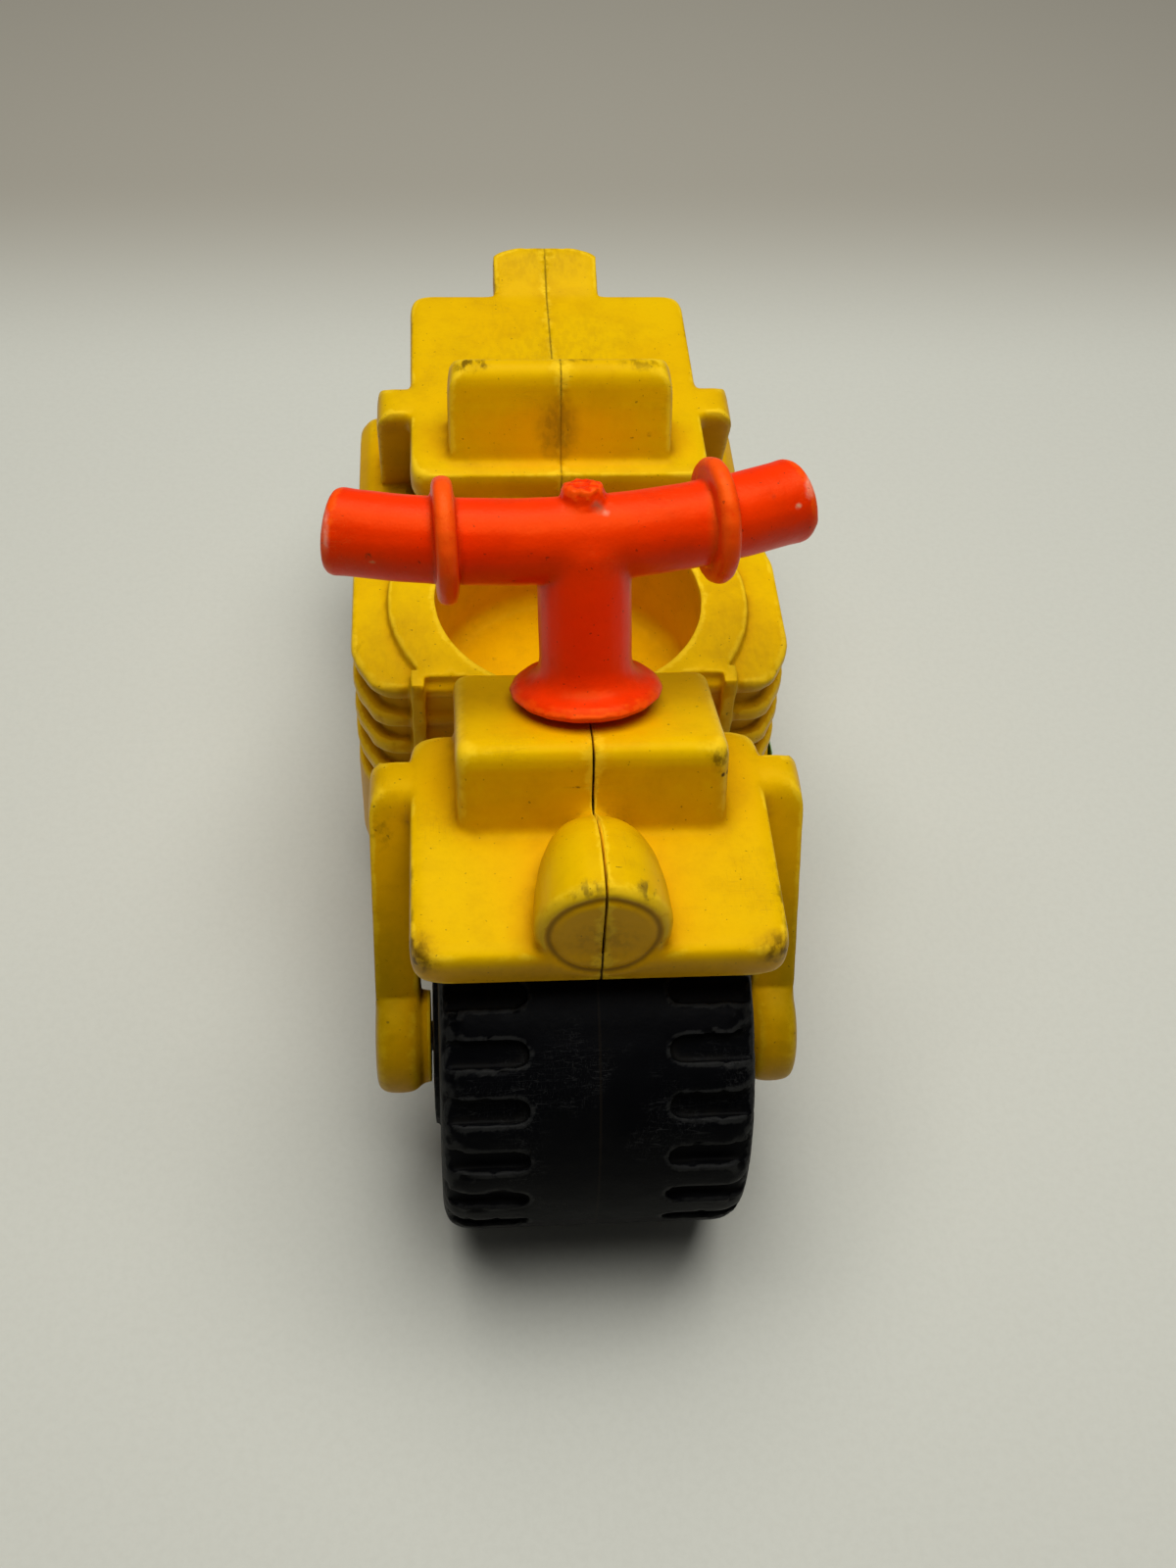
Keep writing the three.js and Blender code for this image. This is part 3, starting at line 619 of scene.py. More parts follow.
@dataclass(frozen=True)
class Finish:
    """A procedural plastic finish."""

    name: str
    base: Colour
    varied: Colour
    painted_shade: Colour
    worn_and_lit: Colour
    scratched: Colour
    dirt_and_crease_shade: Colour
    roughness: float
    specular: float
    wear_and_highlight: float
    grime_and_crease_shade: float
    scratch: float
    grain: float
    tint: Colour = (1.0, 1.0, 1.0)
    speck: float = 0.0
    mottle: float = 0.0
    seam: float = 0.0
    spots: tuple[Spot, ...] = ()
    rings: tuple[Ring, ...] = ()

    def material(self, effects: Effects) -> bpy.types.Material:
        """Make the Blender material.

        Args:
            effects: the shared node groups.

        Returns:
            The material.
        """
        made = bpy.data.materials.new(self.name)
        made.use_nodes = True
        graph = Graph(made.node_tree)
        shader = made.node_tree.nodes["Principled BSDF"]
        place = graph.place()
        drift = graph.blotches(place, Pattern.DRIFT, Span.DRIFT)
        colour = graph.mix(drift, self.base, self.varied)
        # painted shade: shut-in places take a darker, more orange colour
        painted_shade_share = graph.span(graph.mask(Mask.SHELTER), *Span.SHELTER.value)
        colour = graph.mix(painted_shade_share, colour, self.painted_shade)
        film = graph.group(effects.film, Place=place, Amount=self.mottle)
        colour = graph.mix(film, colour, self.dirt_and_crease_shade)
        # edge wear, and a painted highlight along the edges
        worn_and_lit = graph.group(effects.wear_and_highlight, Place=place, Edge=graph.mask(Mask.EDGE), Amount=self.wear_and_highlight)
        colour = graph.mix(worn_and_lit, colour, self.worn_and_lit)
        lines = graph.group(effects.scratches, Place=place, Amount=self.scratch)
        colour = graph.mix(lines, colour, self.scratched)
        # dirt and painted crease shade in the crevices
        crevice = graph.mask(Mask.CREVICE)
        dirt_and_crease_shade = graph.group(effects.grime_and_crease_shade, Place=place, Crevice=crevice, Amount=self.grime_and_crease_shade)
        colour = graph.mix(dirt_and_crease_shade, colour, self.dirt_and_crease_shade)
        if self.seam:
            line, stain = self._seam(graph, place)
            colour = graph.mix(stain, colour, self.dirt_and_crease_shade)
            colour = graph.mix(line, colour, SOOT)
        for mark in (*self.spots, *self.rings):
            colour = mark.over(graph, effects, place, colour)
        dots = graph.group(effects.specks, Place=place, Amount=self.speck)
        graph.feed(shader.inputs["Base Color"], graph.mix(dots, colour, SOOT))
        rough = graph.math("ADD", graph.times(dirt_and_crease_shade, DIRT_ROUGHNESS), self.roughness)
        uneven = graph.times(graph.noise(place, Pattern.UNEVEN), UNEVEN_ROUGHNESS)
        graph.feed(shader.inputs["Roughness"], graph.math("ADD", rough, uneven))
        shader.inputs["Specular IOR Level"].default_value = self.specular
        shader.inputs["Specular Tint"].default_value = (*self.tint, 1.0)
        grain = graph.group(effects.grain, Place=place, Amount=self.grain)
        height = graph.math("SUBTRACT", grain, graph.times(lines, SCRATCH_DEPTH))
        bump = graph.add("ShaderNodeBump")
        bump.inputs["Distance"].default_value = BUMP_HEIGHT * MM
        graph.feed(bump.inputs["Height"], height)
        graph.feed(shader.inputs["Normal"], bump.outputs[0])
        return made

    def _seam(self, graph: Graph, place: Socket) -> tuple[Socket, Socket]:
        """Dirt along the seam between the two halves.

        Args:
            graph: the material's graph.
            place: coordinates in millimetres.

        Returns:
            Masks of the dark line, dotted behind the head, and of the stain beside it.
        """
        away = graph.math("ABSOLUTE", graph.part(place, "X"))
        uneven = graph.times(graph.noise(place, Pattern.SEAM), SEAM_UNEVEN)
        reach = graph.math("ADD", SEAM_LEAST, uneven)
        line = graph.rest(graph.span(away, graph.times(reach, SEAM_CORE), reach))
        near = graph.rest(graph.span(away, *Span.BESIDE_SEAM.value))
        faint = graph.times(near, graph.blotches(place, Pattern.STAIN, Span.STAIN))
        dotted = graph.times(line, graph.blotches(place, Pattern.DOTS, Span.DOTS))
        ahead = graph.span(graph.part(place, "Y"), *Span.AHEAD.value)
        behind = graph.times(dotted, SEAM_BEHIND)
        dark = graph.math("MAXIMUM", behind, graph.times(line, ahead))
        return graph.times(dark, self.seam), graph.times(faint, SEAM_STAIN * self.seam)


SMUDGE: Colour = (0.10, 0.05, 0.002)
SOOT: Colour = (0.012, 0.009, 0.006)
BROWN: Colour = (0.20, 0.09, 0.003)
PAINTED_GLOW: Colour = (0.92, 0.33, 0.0)
SHADED: Colour = (0.30, 0.18, 0.0)
STAIN: Colour = (0.34, 0.17, 0.004)
TRACE: Colour = (0.30, 0.13, 0.003)
RED_REFLECTION_AND_DIRT: Colour = (0.78, 0.32, 0.0)
WELL_PAINTED_LIGHT: Colour = (0.98, 0.58, 0.0)
RUBBED: Colour = (0.17, 0.10, 0.01)
SCORED: Colour = (0.15, 0.09, 0.01)
LENS_GROOVE_SHADE: Colour = (0.19, 0.08, 0.002)

YELLOW = Finish(
    name="yellow_moulding",
    base=(0.72, 0.435, 0.0),
    varied=(0.71, 0.405, 0.0),
    # painted shade colour of shut-in places
    painted_shade=(0.69, 0.34, 0.0),
    # lighter edges: wear and a painted edge highlight
    worn_and_lit=(0.90, 0.60, 0.02),
    scratched=(0.24, 0.13, 0.01),
    # dirt colour, also the painted crease shade
    dirt_and_crease_shade=(0.32, 0.125, 0.002),
    roughness=0.34,
    specular=0.22,
    tint=(1.0, 0.7, 0.02),
    wear_and_highlight=0.5,
    grime_and_crease_shade=0.4,
    scratch=0.2,
    grain=0.35,
    speck=0.5,
    mottle=0.16,
    seam=0.85,
    # painted shade in the groove round the lens
    rings=(Ring((0.0, -52.05, 49.8), 5.2, 0.5, LENS_GROOVE_SHADE, 0.7),),
    spots=(
        Spot((-17.3, -51.0, 46.2), (2.8, 3.4, 2.2), STAIN, 0.75, 0.7, 0.2),
        Spot((-17.6, -51.2, 46.2), (2.2, 3.6, 1.8), SMUDGE, 0.85),
        Spot((-18.0, -45.0, 46.6), (0.6, 6.0, 1.0), SMUDGE, 0.6),
        Spot((16.4, -51.2, 46.2), (3.2, 2.4, 2.0), STAIN, 0.75, 0.7, 0.2),
        Spot((17.0, -51.4, 46.2), (2.6, 1.8, 1.8), SMUDGE, 0.8),
        Spot((17.8, -46.5, 46.6), (0.7, 6.0, 1.0), SMUDGE, 0.6),
        # painted reflection of the red handlebar, with dirt, on the head block's top
        Spot((0.0, -25.0, 54.8), (13.0, 11.5, 3.2), RED_REFLECTION_AND_DIRT, 0.8, 0.4, 0.1),
        # painted light on the well's front side walls
        Spot((-15.3, -13.5, 42.0), (4.5, 6.0, 8.0), WELL_PAINTED_LIGHT, 0.9, 0.2, 0.0),
        Spot((15.3, -13.5, 42.0), (4.5, 6.0, 8.0), WELL_PAINTED_LIGHT, 0.9, 0.2, 0.0),
        Spot((-19.5, -6.0, 42.0), (8.0, 14.0, 3.0), STAIN, 0.36, 0.6, 0.3),
        Spot((19.5, -6.0, 42.0), (8.0, 14.0, 3.0), STAIN, 0.42, 0.6, 0.3),
        Spot((0.0, 60.5, 49.5), (9.0, 4.5, 4.0), STAIN, 0.35, 0.5, 0.6),
        Spot((0.0, 44.0, 47.2), (17.0, 12.0, 1.0), STAIN, 0.18, 0.6, 0.8),
        Spot((-1.9, -51.3, 55.9), (2.4, 1.4, 1.0), RUBBED, 0.7, 1.4),
        Spot((3.9, -50.8, 55.1), (2.2, 1.4, 1.2), SCORED, 0.8, 1.3),
        Spot((12.4, -34.2, 54.2), (1.5, 1.5, 1.6), SMUDGE, 0.75, 1.2, 0.7),
        Spot((12.8, -34.9, 52.6), (0.32, 0.5, 0.32), SOOT, 0.9, 0.3, 0.0),
        Spot((13.3, -34.4, 52.5), (0.32, 0.5, 0.32), SOOT, 0.9, 0.3, 0.0),
        Spot((-1.9, -35.4, 51.8), (1.7, 1.0, 0.16), SOOT, 0.7, 0.5),
        Spot((-11.0, 26.6, 57.0), (3.4, 2.0, 1.0), SMUDGE, 0.85, 1.2),
        Spot((2.0, 27.6, 57.0), (2.6, 1.4, 0.8), SMUDGE, 0.6, 1.4),
        Spot((10.7, 22.0, 50.1), (0.42, 0.6, 0.42), SOOT, 0.9, 0.4),
        Spot((-0.9, 22.2, 49.4), (0.8, 0.8, 1.1), SMUDGE, 0.6, 1.2),
        Spot((-8.3, 7.0, 27.4), (0.4, 0.4, 0.4), SOOT, 0.95, 0.2),
        Spot((-17.9, 48.0, 46.2), (0.7, 4.0, 1.0), SMUDGE, 0.5),
        Spot((-24.2, -5.5, 39.0), (1.3, 4.0, 3.0), SMUDGE, 0.35, 1.6),
        Spot((-21.0, -35.0, 44.0), (2.0, 3.0, 3.6), SMUDGE, 0.5, 1.5),
        Spot((-6.8, 57.4, 47.8), (0.9, 1.5, 1.2), SMUDGE, 0.5, 1.2),
        Spot((0.0, -53.0, 44.4), (24.0, 1.6, 2.6), BROWN, 0.4, 0.5, 0.3),
        # painted orange glow of the backrest's front face
        Spot((0.0, 21.5, 50.5), (16.0, 4.0, 6.5), PAINTED_GLOW, 0.5, 0.3, 0.0),
        Spot((-0.4, 22.5, 50.5), (3.4, 3.4, 7.5), TRACE, 0.75, 0.6, 0.3),
        Spot((-17.6, -44.0, 20.0), (0.4, 8.0, 7.5), BROWN, 0.85, 0.3, 0.3),
        Spot((17.6, -44.0, 20.0), (0.4, 8.0, 7.5), BROWN, 0.85, 0.3, 0.3),
        Spot((9.5, 26.6, 57.0), (3.0, 1.6, 0.7), SMUDGE, 0.5, 1.4),
        Spot((17.9, 46.0, 46.2), (0.7, 8.0, 1.0), SMUDGE, 0.5),
        Spot((-22.5, -40.0, 20.0), (6.0, 16.0, 24.0), SHADED, 0.85, 0.3, 0.0),
        Spot((22.5, -40.0, 20.0), (6.0, 16.0, 24.0), SHADED, 0.85, 0.3, 0.0),
        Spot((0.0, -52.2, 49.0), (4.8, 0.6, 4.2), STAIN, 0.5, 0.8, 0.7),
    ),
)

PALE_RED: Colour = (0.82, 0.13, 0.01)
POST_PAINTED_LIGHT: Colour = (1.0, 0.022, 0.0)
BURNT: Colour = (0.08, 0.03, 0.01)
TAN: Colour = (0.6, 0.3, 0.12)
CHIP: Colour = (0.7, 0.36, 0.2)
PIT: Colour = (0.1, 0.02, 0.01)
DOT: Colour = (0.12, 0.02, 0.01)
TORN: Colour = (0.34, 0.10, 0.05)
TORN_RIM: Colour = (0.7, 0.3, 0.2)
CHALKY: Colour = (0.85, 0.42, 0.28)
CHALKY_RIM: Colour = (0.85, 0.40, 0.28)

RED = Finish(
    name="red_moulding",
    base=(0.83, 0.026, 0.0),
    varied=(0.86, 0.036, 0.0),
    painted_shade=(0.83, 0.026, 0.0),
    worn_and_lit=(0.92, 0.10, 0.004),
    scratched=(0.92, 0.16, 0.03),
    dirt_and_crease_shade=(0.20, 0.010, 0.002),
    roughness=0.3,
    specular=0.35,
    tint=(1.0, 0.3, 0.04),
    wear_and_highlight=0.55,
    grime_and_crease_shade=0.3,
    scratch=0.2,
    grain=0.9,
    speck=0.45,
    mottle=0.14,
    spots=(
        Spot((-21.2, -21.1, 69.3), (0.5, 0.6, 0.45), BURNT, 0.9, 0.8),
        Spot((-20.9, -21.0, 68.7), (0.5, 0.5, 0.3), TAN, 0.6, 0.8),
        Spot((20.7, -15.6, 70.3), (0.5, 0.6, 0.4), CHIP, 0.9, 0.8),
        Spot((20.3, -15.6, 71.0), (0.4, 0.5, 0.35), PIT, 0.8, 0.6),
        Spot((18.1, -15.5, 71.5), (0.35, 0.5, 0.35), DOT, 0.85, 0.5),
        # painted light: a brighter, deeper red over the post
        Spot((0.0, -21.0, 61.0), (7.0, 7.0, 8.5), POST_PAINTED_LIGHT, 0.8, 0.2, 0.0),
        Spot((-14.0, -18.0, 68.4), (1.7, 9.0, 9.0), PALE_RED, 0.55, 0.2, 0.2),
        Spot((12.6, -15.0, 68.1), (2.0, 9.0, 9.0), PALE_RED, 0.55, 0.2, 0.2),
        Spot((0.9, -18.6, 72.9), (1.3, 1.1, 0.8), TORN, 0.8, 1.0, 0.6),
        Spot((1.4, -18.8, 72.6), (0.6, 0.6, 0.5), TORN_RIM, 0.6, 0.8, 0.4),
        Spot((22.4, -14.2, 71.6), (1.2, 4.0, 1.3), CHALKY, 0.8, 1.0, 0.5),
        Spot((-25.3, -18.0, 70.5), (0.6, 4.0, 2.5), CHALKY_RIM, 0.6, 1.0, 0.6),
    ),
)

BLACK = Finish(
    name="black_tread",
    base=(0.0008, 0.0009, 0.0014),
    varied=(0.0024, 0.0025, 0.0031),
    painted_shade=(0.0009, 0.001, 0.0014),
    worn_and_lit=(0.036, 0.036, 0.034),
    scratched=(0.07, 0.07, 0.068),
    dirt_and_crease_shade=(0.010, 0.009, 0.007),
    roughness=0.42,
    specular=0.035,
    wear_and_highlight=0.4,
    grime_and_crease_shade=0.5,
    scratch=0.22,
    grain=0.7,
    seam=0.5,
)

STEEL = Finish(
    name="steel_pin",
    base=(0.42, 0.42, 0.42),
    varied=(0.36, 0.36, 0.37),
    painted_shade=(0.36, 0.36, 0.37),
    worn_and_lit=(0.6, 0.6, 0.6),
    scratched=(0.7, 0.7, 0.7),
    dirt_and_crease_shade=(0.08, 0.06, 0.04),
    roughness=0.28,
    specular=0.5,
    wear_and_highlight=0.2,
    grime_and_crease_shade=0.5,
    scratch=0.6,
    grain=0.3,
)

GREEN = Finish(
    name="green_film",
    base=(0.10, 0.42, 0.07),
    varied=(0.12, 0.46, 0.08),
    painted_shade=(0.12, 0.46, 0.08),
    worn_and_lit=(0.5, 0.6, 0.45),
    scratched=(0.6, 0.7, 0.55),
    dirt_and_crease_shade=(0.03, 0.06, 0.02),
    roughness=0.4,
    specular=0.4,
    wear_and_highlight=0.5,
    grime_and_crease_shade=0.4,
    scratch=0.4,
    grain=0.3,
)


# Meshes

MOST_TRIANGLES = 185_000
EDGE_TURN = 0.12  # one less the cosine of a turn that counts as an edge
FOLLOW_STEPS = 14
SHORTEST = 0.05  # shortest edge that bends count on, in millimetres
HALF_WAY = 0.5
WELD = 0.002  # points nearer than this are one, in millimetres
ON_PLANE = 0.001  # points nearer than this to a cut lie in it, in millimetres
ON_SEAM = 0.01  # points nearer than this to a seam face lie in it, in millimetres
FRACTAL = (1.0, 2.0, 3)  # roughness, step between octaves and octaves of a torn surface


def linked(name: str, data: bpy.types.ID) -> bpy.types.Object:
    """Make an object and link it to the scene.

    Args:
        name: its name.
        data: its mesh, camera or light.

    Returns:
        The object.
    """
    made = bpy.data.objects.new(name, data)
    bpy.context.scene.collection.objects.link(made)
    return made


def meshed(grid: bmesh.types.BMesh, name: str) -> bpy.types.Mesh:
    """Turn a bmesh into a mesh, and free it.

    Args:
        grid: the bmesh.
        name: the new mesh's name.

    Returns:
        The mesh.
    """
    mesh = bpy.data.meshes.new(name)
    grid.to_mesh(mesh)
    grid.free()
    return mesh


def fresh_copy(nodes: Sequence[str], name: str) -> bpy.types.Object:
    """Copy CAD nodes into one new merged mesh.

    Args:
        nodes: the CAD nodes.
        name: the new object's name.

    Returns:
        The new object, linked to the scene.
    """
    grid = bmesh.new()
    for node in nodes:
        grid.from_mesh(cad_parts[node].data)
    bmesh.ops.remove_doubles(grid, verts=grid.verts, dist=WELD * MM)
    return linked(name, meshed(grid, name))


def baked(piece: bpy.types.Object) -> None:
    """Put a piece's modifiers into its mesh.

    Args:
        piece: the object, whose mesh is replaced.
    """
    graph = bpy.context.evaluated_depsgraph_get()
    mesh = bpy.data.meshes.new_from_object(piece.evaluated_get(graph))
    piece.modifiers.clear()
    piece.data = mesh


def soften(piece: bpy.types.Object, voxel: float, rounds: int) -> None:
    """Rebuild a closed mesh from even small faces that lie on its own surface.

    Args:
        piece: the object, whose mesh is replaced.
        voxel: size of the faces in millimetres.
        rounds: how often neighbours that turn little are averaged.
    """
    pattern = linked("pattern", piece.data.copy())
    remesh = piece.modifiers.new("voxels", "REMESH")
    remesh.mode = "VOXEL"
    remesh.voxel_size = voxel * MM
    wrap = piece.modifiers.new("on_surface", "SHRINKWRAP")
    wrap.target = pattern
    wrap.wrap_method = "NEAREST_SURFACEPOINT"
    baked(piece)
    bpy.data.objects.remove(pattern)
    true_rounds(piece.data, rounds)


def thin_out(piece: bpy.types.Object) -> None:
    """Take out triangles past the limit, the flat ones first.

    Args:
        piece: the object, whose mesh may be replaced.
    """
    count = len(piece.data.loops) - 2 * len(piece.data.polygons)
    if count > MOST_TRIANGLES:
        thin = piece.modifiers.new("thin", "DECIMATE")
        thin.ratio = MOST_TRIANGLES / count
        baked(piece)


def gathered(index: np.ndarray, values: np.ndarray, count: int) -> np.ndarray:
    """Add up rows of values that share an index.

    Args:
        index: where each row goes.
        values: the rows.
        count: how many sums there are.

    Returns:
        One sum a row.
    """
    return np.stack([np.bincount(index, column, count) for column in values.T], axis=1)


def true_rounds(mesh: bpy.types.Mesh, rounds: int) -> None:
    """Turn facets into rounds and leave edges sharp.

    Face normals are averaged with the neighbours that turn little from them, and
    then the points follow the normals.

    Args:
        mesh: a mesh of even, small faces.
        rounds: how often the normals are averaged.
    """
    corners, edges = np.zeros((2, len(mesh.loops)), np.int32)
    mesh.loops.foreach_get("vertex_index", corners)
    mesh.loops.foreach_get("edge_index", edges)
    sizes = np.zeros(len(mesh.polygons), np.int32)
    mesh.polygons.foreach_get("loop_total", sizes)
    faces = np.repeat(np.arange(len(sizes)), sizes)
    order = np.argsort(edges, kind="stable")
    shared = edges[order][1:] == edges[order][:-1]
    one, two = faces[order][:-1][shared], faces[order][1:][shared]
    normals = np.zeros(len(sizes) * 3, np.float32)
    mesh.polygons.foreach_get("normal", normals)
    normals = normals.reshape(-1, 3).astype(float)
    for _ in range(rounds):
        turn = 1 - (normals[one] * normals[two]).sum(1)
        weight = np.exp(-((turn / EDGE_TURN) ** 2))[:, None]
        total = normals + gathered(one, weight * normals[two], len(sizes))
        total += gathered(two, weight * normals[one], len(sizes))
        normals = total / np.linalg.norm(total, axis=1, keepdims=True)
    points = coordinates(mesh)
    touching = np.bincount(corners, minlength=len(points))[:, None]
    for _ in range(FOLLOW_STEPS):
        centres = gathered(faces, points[corners], len(sizes)) / sizes[:, None]
        gap = ((centres[faces] - points[corners]) * normals[faces]).sum(1, keepdims=True)
        points += gathered(corners, gap * normals[faces], len(points)) / touching
    write_points(mesh, points)


def coordinates(mesh: bpy.types.Mesh) -> np.ndarray:
    """Read a mesh's vertices.

    Args:
        mesh: the mesh.

    Returns:
        An array of points, in metres.
    """
    flat = np.zeros(len(mesh.vertices) * 3, np.float32)
    mesh.vertices.foreach_get("co", flat)
    return flat.reshape(-1, 3).astype(float)


def directions(mesh: bpy.types.Mesh) -> np.ndarray:
    """Read a mesh's vertex normals.

    Args:
        mesh: the mesh.

    Returns:
        An array of unit vectors.
    """
    flat = np.zeros(len(mesh.vertices) * 3, np.float32)
    mesh.vertices.foreach_get("normal", flat)
    return flat.reshape(-1, 3).astype(float)


def write_points(mesh: bpy.types.Mesh, points: np.ndarray) -> None:
    """Move a mesh's vertices.

    Args:
        mesh: the mesh.
        points: an array of points, in metres.
    """
    mesh.vertices.foreach_set("co", points.astype(np.float32).ravel())
    mesh.update()


def edge_ends(mesh: bpy.types.Mesh) -> np.ndarray:
    """Read a mesh's edges.

    Args:
        mesh: the mesh.

    Returns:
        Two rows: the vertices at the starts and at the ends.
    """
    pairs = np.zeros(len(mesh.edges) * 2, np.int32)
    mesh.edges.foreach_get("vertices", pairs)
    return pairs.reshape(-1, 2).T


def nearness(points: np.ndarray, centre: Point, reach: float) -> np.ndarray:
    """Weigh points by how near they are to a place.

    Args:
        points: the points, in metres.
        centre: the place, in millimetres.
        reach: distance at which the weight is 0, in millimetres.

    Returns:
        A weight for each point, 0 to 1, full up to half the reach.
    """
    away = np.linalg.norm(points / MM - centre, axis=1) / reach
    return np.clip((1 - away) / HALF_WAY, 0, 1)


def relax(mesh: bpy.types.Mesh, share: np.ndarray, rounds: int) -> None:
    """Smooth a mesh where a weight asks for it.

    Args:
        mesh: the mesh.
        share: a weight for each vertex, 0 to 1.
        rounds: smoothing rounds.
    """
    points = coordinates(mesh)
    many = len(points)
    a, b = edge_ends(mesh)
    near = (share[a] > 0) | (share[b] > 0)
    a, b = a[near], b[near]
    count = np.maximum(np.bincount(a, minlength=many) + np.bincount(b, minlength=many), 1)[:, None]
    for _ in range(rounds):
        mean = (gathered(a, points[b], many) + gathered(b, points[a], many)) / count
        points += HALF_WAY * share[:, None] * (mean - points)
    write_points(mesh, points)


def bends(mesh: bpy.types.Mesh, rounds: int) -> np.ndarray:
    """Measure how the surface bends at each vertex.

    Args:
        mesh: a mesh of even, small faces.
        rounds: how often the bends are averaged over neighbours.

    Returns:
        Bends per millimetre: hollows above 0, edges below.
    """
    points = coordinates(mesh) / MM
    normals = directions(mesh)
    a, b = edge_ends(mesh)
    step = points[b] - points[a]
    length = np.maximum((step * step).sum(1), SHORTEST**2)
    many = len(points)
    count = np.bincount(a, minlength=many) + np.bincount(b, minlength=many)
    bend = np.bincount(a, 2 * (normals[a] * step).sum(1) / length, many)
    bend -= np.bincount(b, 2 * (normals[b] * step).sum(1) / length, many)
    bend /= np.maximum(count, 1)
    for _ in range(rounds):
        bend = (bend + np.bincount(a, bend[b], many) + np.bincount(b, bend[a], many)) / (count + 1)
    return bend


def add_masks(mesh: bpy.types.Mesh, rounds: int, sharp: float) -> None:
    """Store edge and crevice masks from the mesh's bends.

    Args:
        mesh: a mesh of even, small faces.
        rounds: how often the bends are averaged over neighbours.
        sharp: bend, per millimetre, that counts as a full edge.
    """
    bend = bends(mesh, rounds)
    for mask, value in ((Mask.EDGE, -bend), (Mask.CREVICE, bend)):
        layer = mesh.attributes.new(mask.value, "FLOAT", "POINT")
        layer.data.foreach_set("value", np.clip(value / sharp, 0, 1).astype(np.float32))


def add_shelter(mesh: bpy.types.Mesh, cell: float, reach: int, ways: int) -> None:
    """Store how far each point is shut in, from a height map of the mesh.

    The mesh is taken as one half of a form that is symmetric about x = 0.

    Args:
        mesh: a mesh of small faces.
        cell: size of a cell of the height map, in millimetres.
        reach: how many cells away the form still shelters a point.
        ways: how many directions are looked along.
    """
    points = coordinates(mesh) / MM
    corner = np.array([0.0, points[:, 1].min(), 0.0])
    spots = np.abs(points) * (1, 0, 0) + (points - corner) * (0, 1, 0)
    column = np.floor(spots[:, :2] / cell).astype(int)
    heights = np.zeros(column.max(0) + 1)
    np.maximum.at(heights, tuple(column.T), points[:, 2])
    open_sky = np.zeros(len(points))
    for way in range(ways):
        turn = 2 * math.pi * way / ways
        step = np.array([math.cos(turn), math.sin(turn)]) * cell
        rise = np.zeros(len(points))
        for far in range(1, reach + 1):
            there = spots[:, :2] + step * far
            there[:, 0] = np.abs(there[:, 0])
            index = np.floor(there / cell).astype(int)
            inside = (index >= 0).all(1) & (index < heights.shape).all(1)
            index = np.clip(index, 0, np.array(heights.shape) - 1)
            lift = np.where(inside, heights[tuple(index.T)] - points[:, 2], 0.0)
            rise = np.maximum(rise, lift / (far * cell))
        open_sky += 1 / (1 + rise * rise)
    layer = mesh.attributes.new(Mask.SHELTER.value, "FLOAT", "POINT")
    layer.data.foreach_set("value", np.clip(1 - open_sky / ways, 0, 1).astype(np.float32))


def smooth_shading(mesh: bpy.types.Mesh) -> None:
    """Shade every face smoothly.

    Args:
        mesh: the mesh.
    """
    mesh.polygons.foreach_set("use_smooth", np.ones(len(mesh.polygons), bool))


@dataclass
class Moulding:
    """A visible moulding: a softened copy of its CAD nodes."""

    name: str
    nodes: tuple[str, ...]
    body: Body
    slot: Slot
    voxel: float = 0.34
    rounds: int = 16
    mask_rounds: int = 3
    mask_sharp: float = 0.5

    def build(self, finish: bpy.types.Material) -> bpy.types.Object:
        """Make the piece, dress it and attach it to its body.

        Args:
            finish: its material.

        Returns:
            The finished object.
        """
        piece = fresh_copy(self.nodes, self.name)
        self.prepare(piece.data)
        soften(piece, self.voxel, self.rounds)
        self.carve(piece.data)
        thin_out(piece)
        self.shape(piece)
        write_points(piece.data, np.clip(coordinates(piece.data), *CAD_BOX))
        smooth_shading(piece.data)
        add_masks(piece.data, self.mask_rounds, self.mask_sharp)
        self.mask(piece.data)
        piece.data.materials.clear()
        piece.data.materials.append(finish)
        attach(piece, self.body.value)
        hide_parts(*self.nodes)
        LOG.info("%s: %d faces", self.name, len(piece.data.polygons))
        return piece

    def prepare(self, mesh: bpy.types.Mesh) -> None:
        """Change the copied mesh before it is softened.

        Args:
            mesh: the copy.
        """

    def carve(self, mesh: bpy.types.Mesh) -> None:
        """Move points of the softened mesh.

        Args:
            mesh: the softened mesh, of even faces.
        """

    def shape(self, piece: bpy.types.Object) -> None:
        """Cut the softened piece.

        Args:
            piece: the softened object.
        """

    def mask(self, mesh: bpy.types.Mesh) -> None:
        """Store further masks.

        Args:
            mesh: the finished mesh.
        """


def push_seam(mesh: bpy.types.Mesh, sides: Sequence[Side], gap: float, reach: float) -> None:
    """Move the flat seam faces of a half past the middle.

    Args:
        mesh: the mesh of one or two halves.
        sides: the halves it holds.
        gap: seam gap in millimetres.
        reach: how far past the middle they go, in millimetres.
    """
    points = coordinates(mesh)
    for side in sides:
        on_seam = np.abs(points[:, 0] - side.value * gap / 2 * MM) < ON_SEAM * MM
        points[on_seam, 0] = -side.value * reach * MM
    write_points(mesh, points)


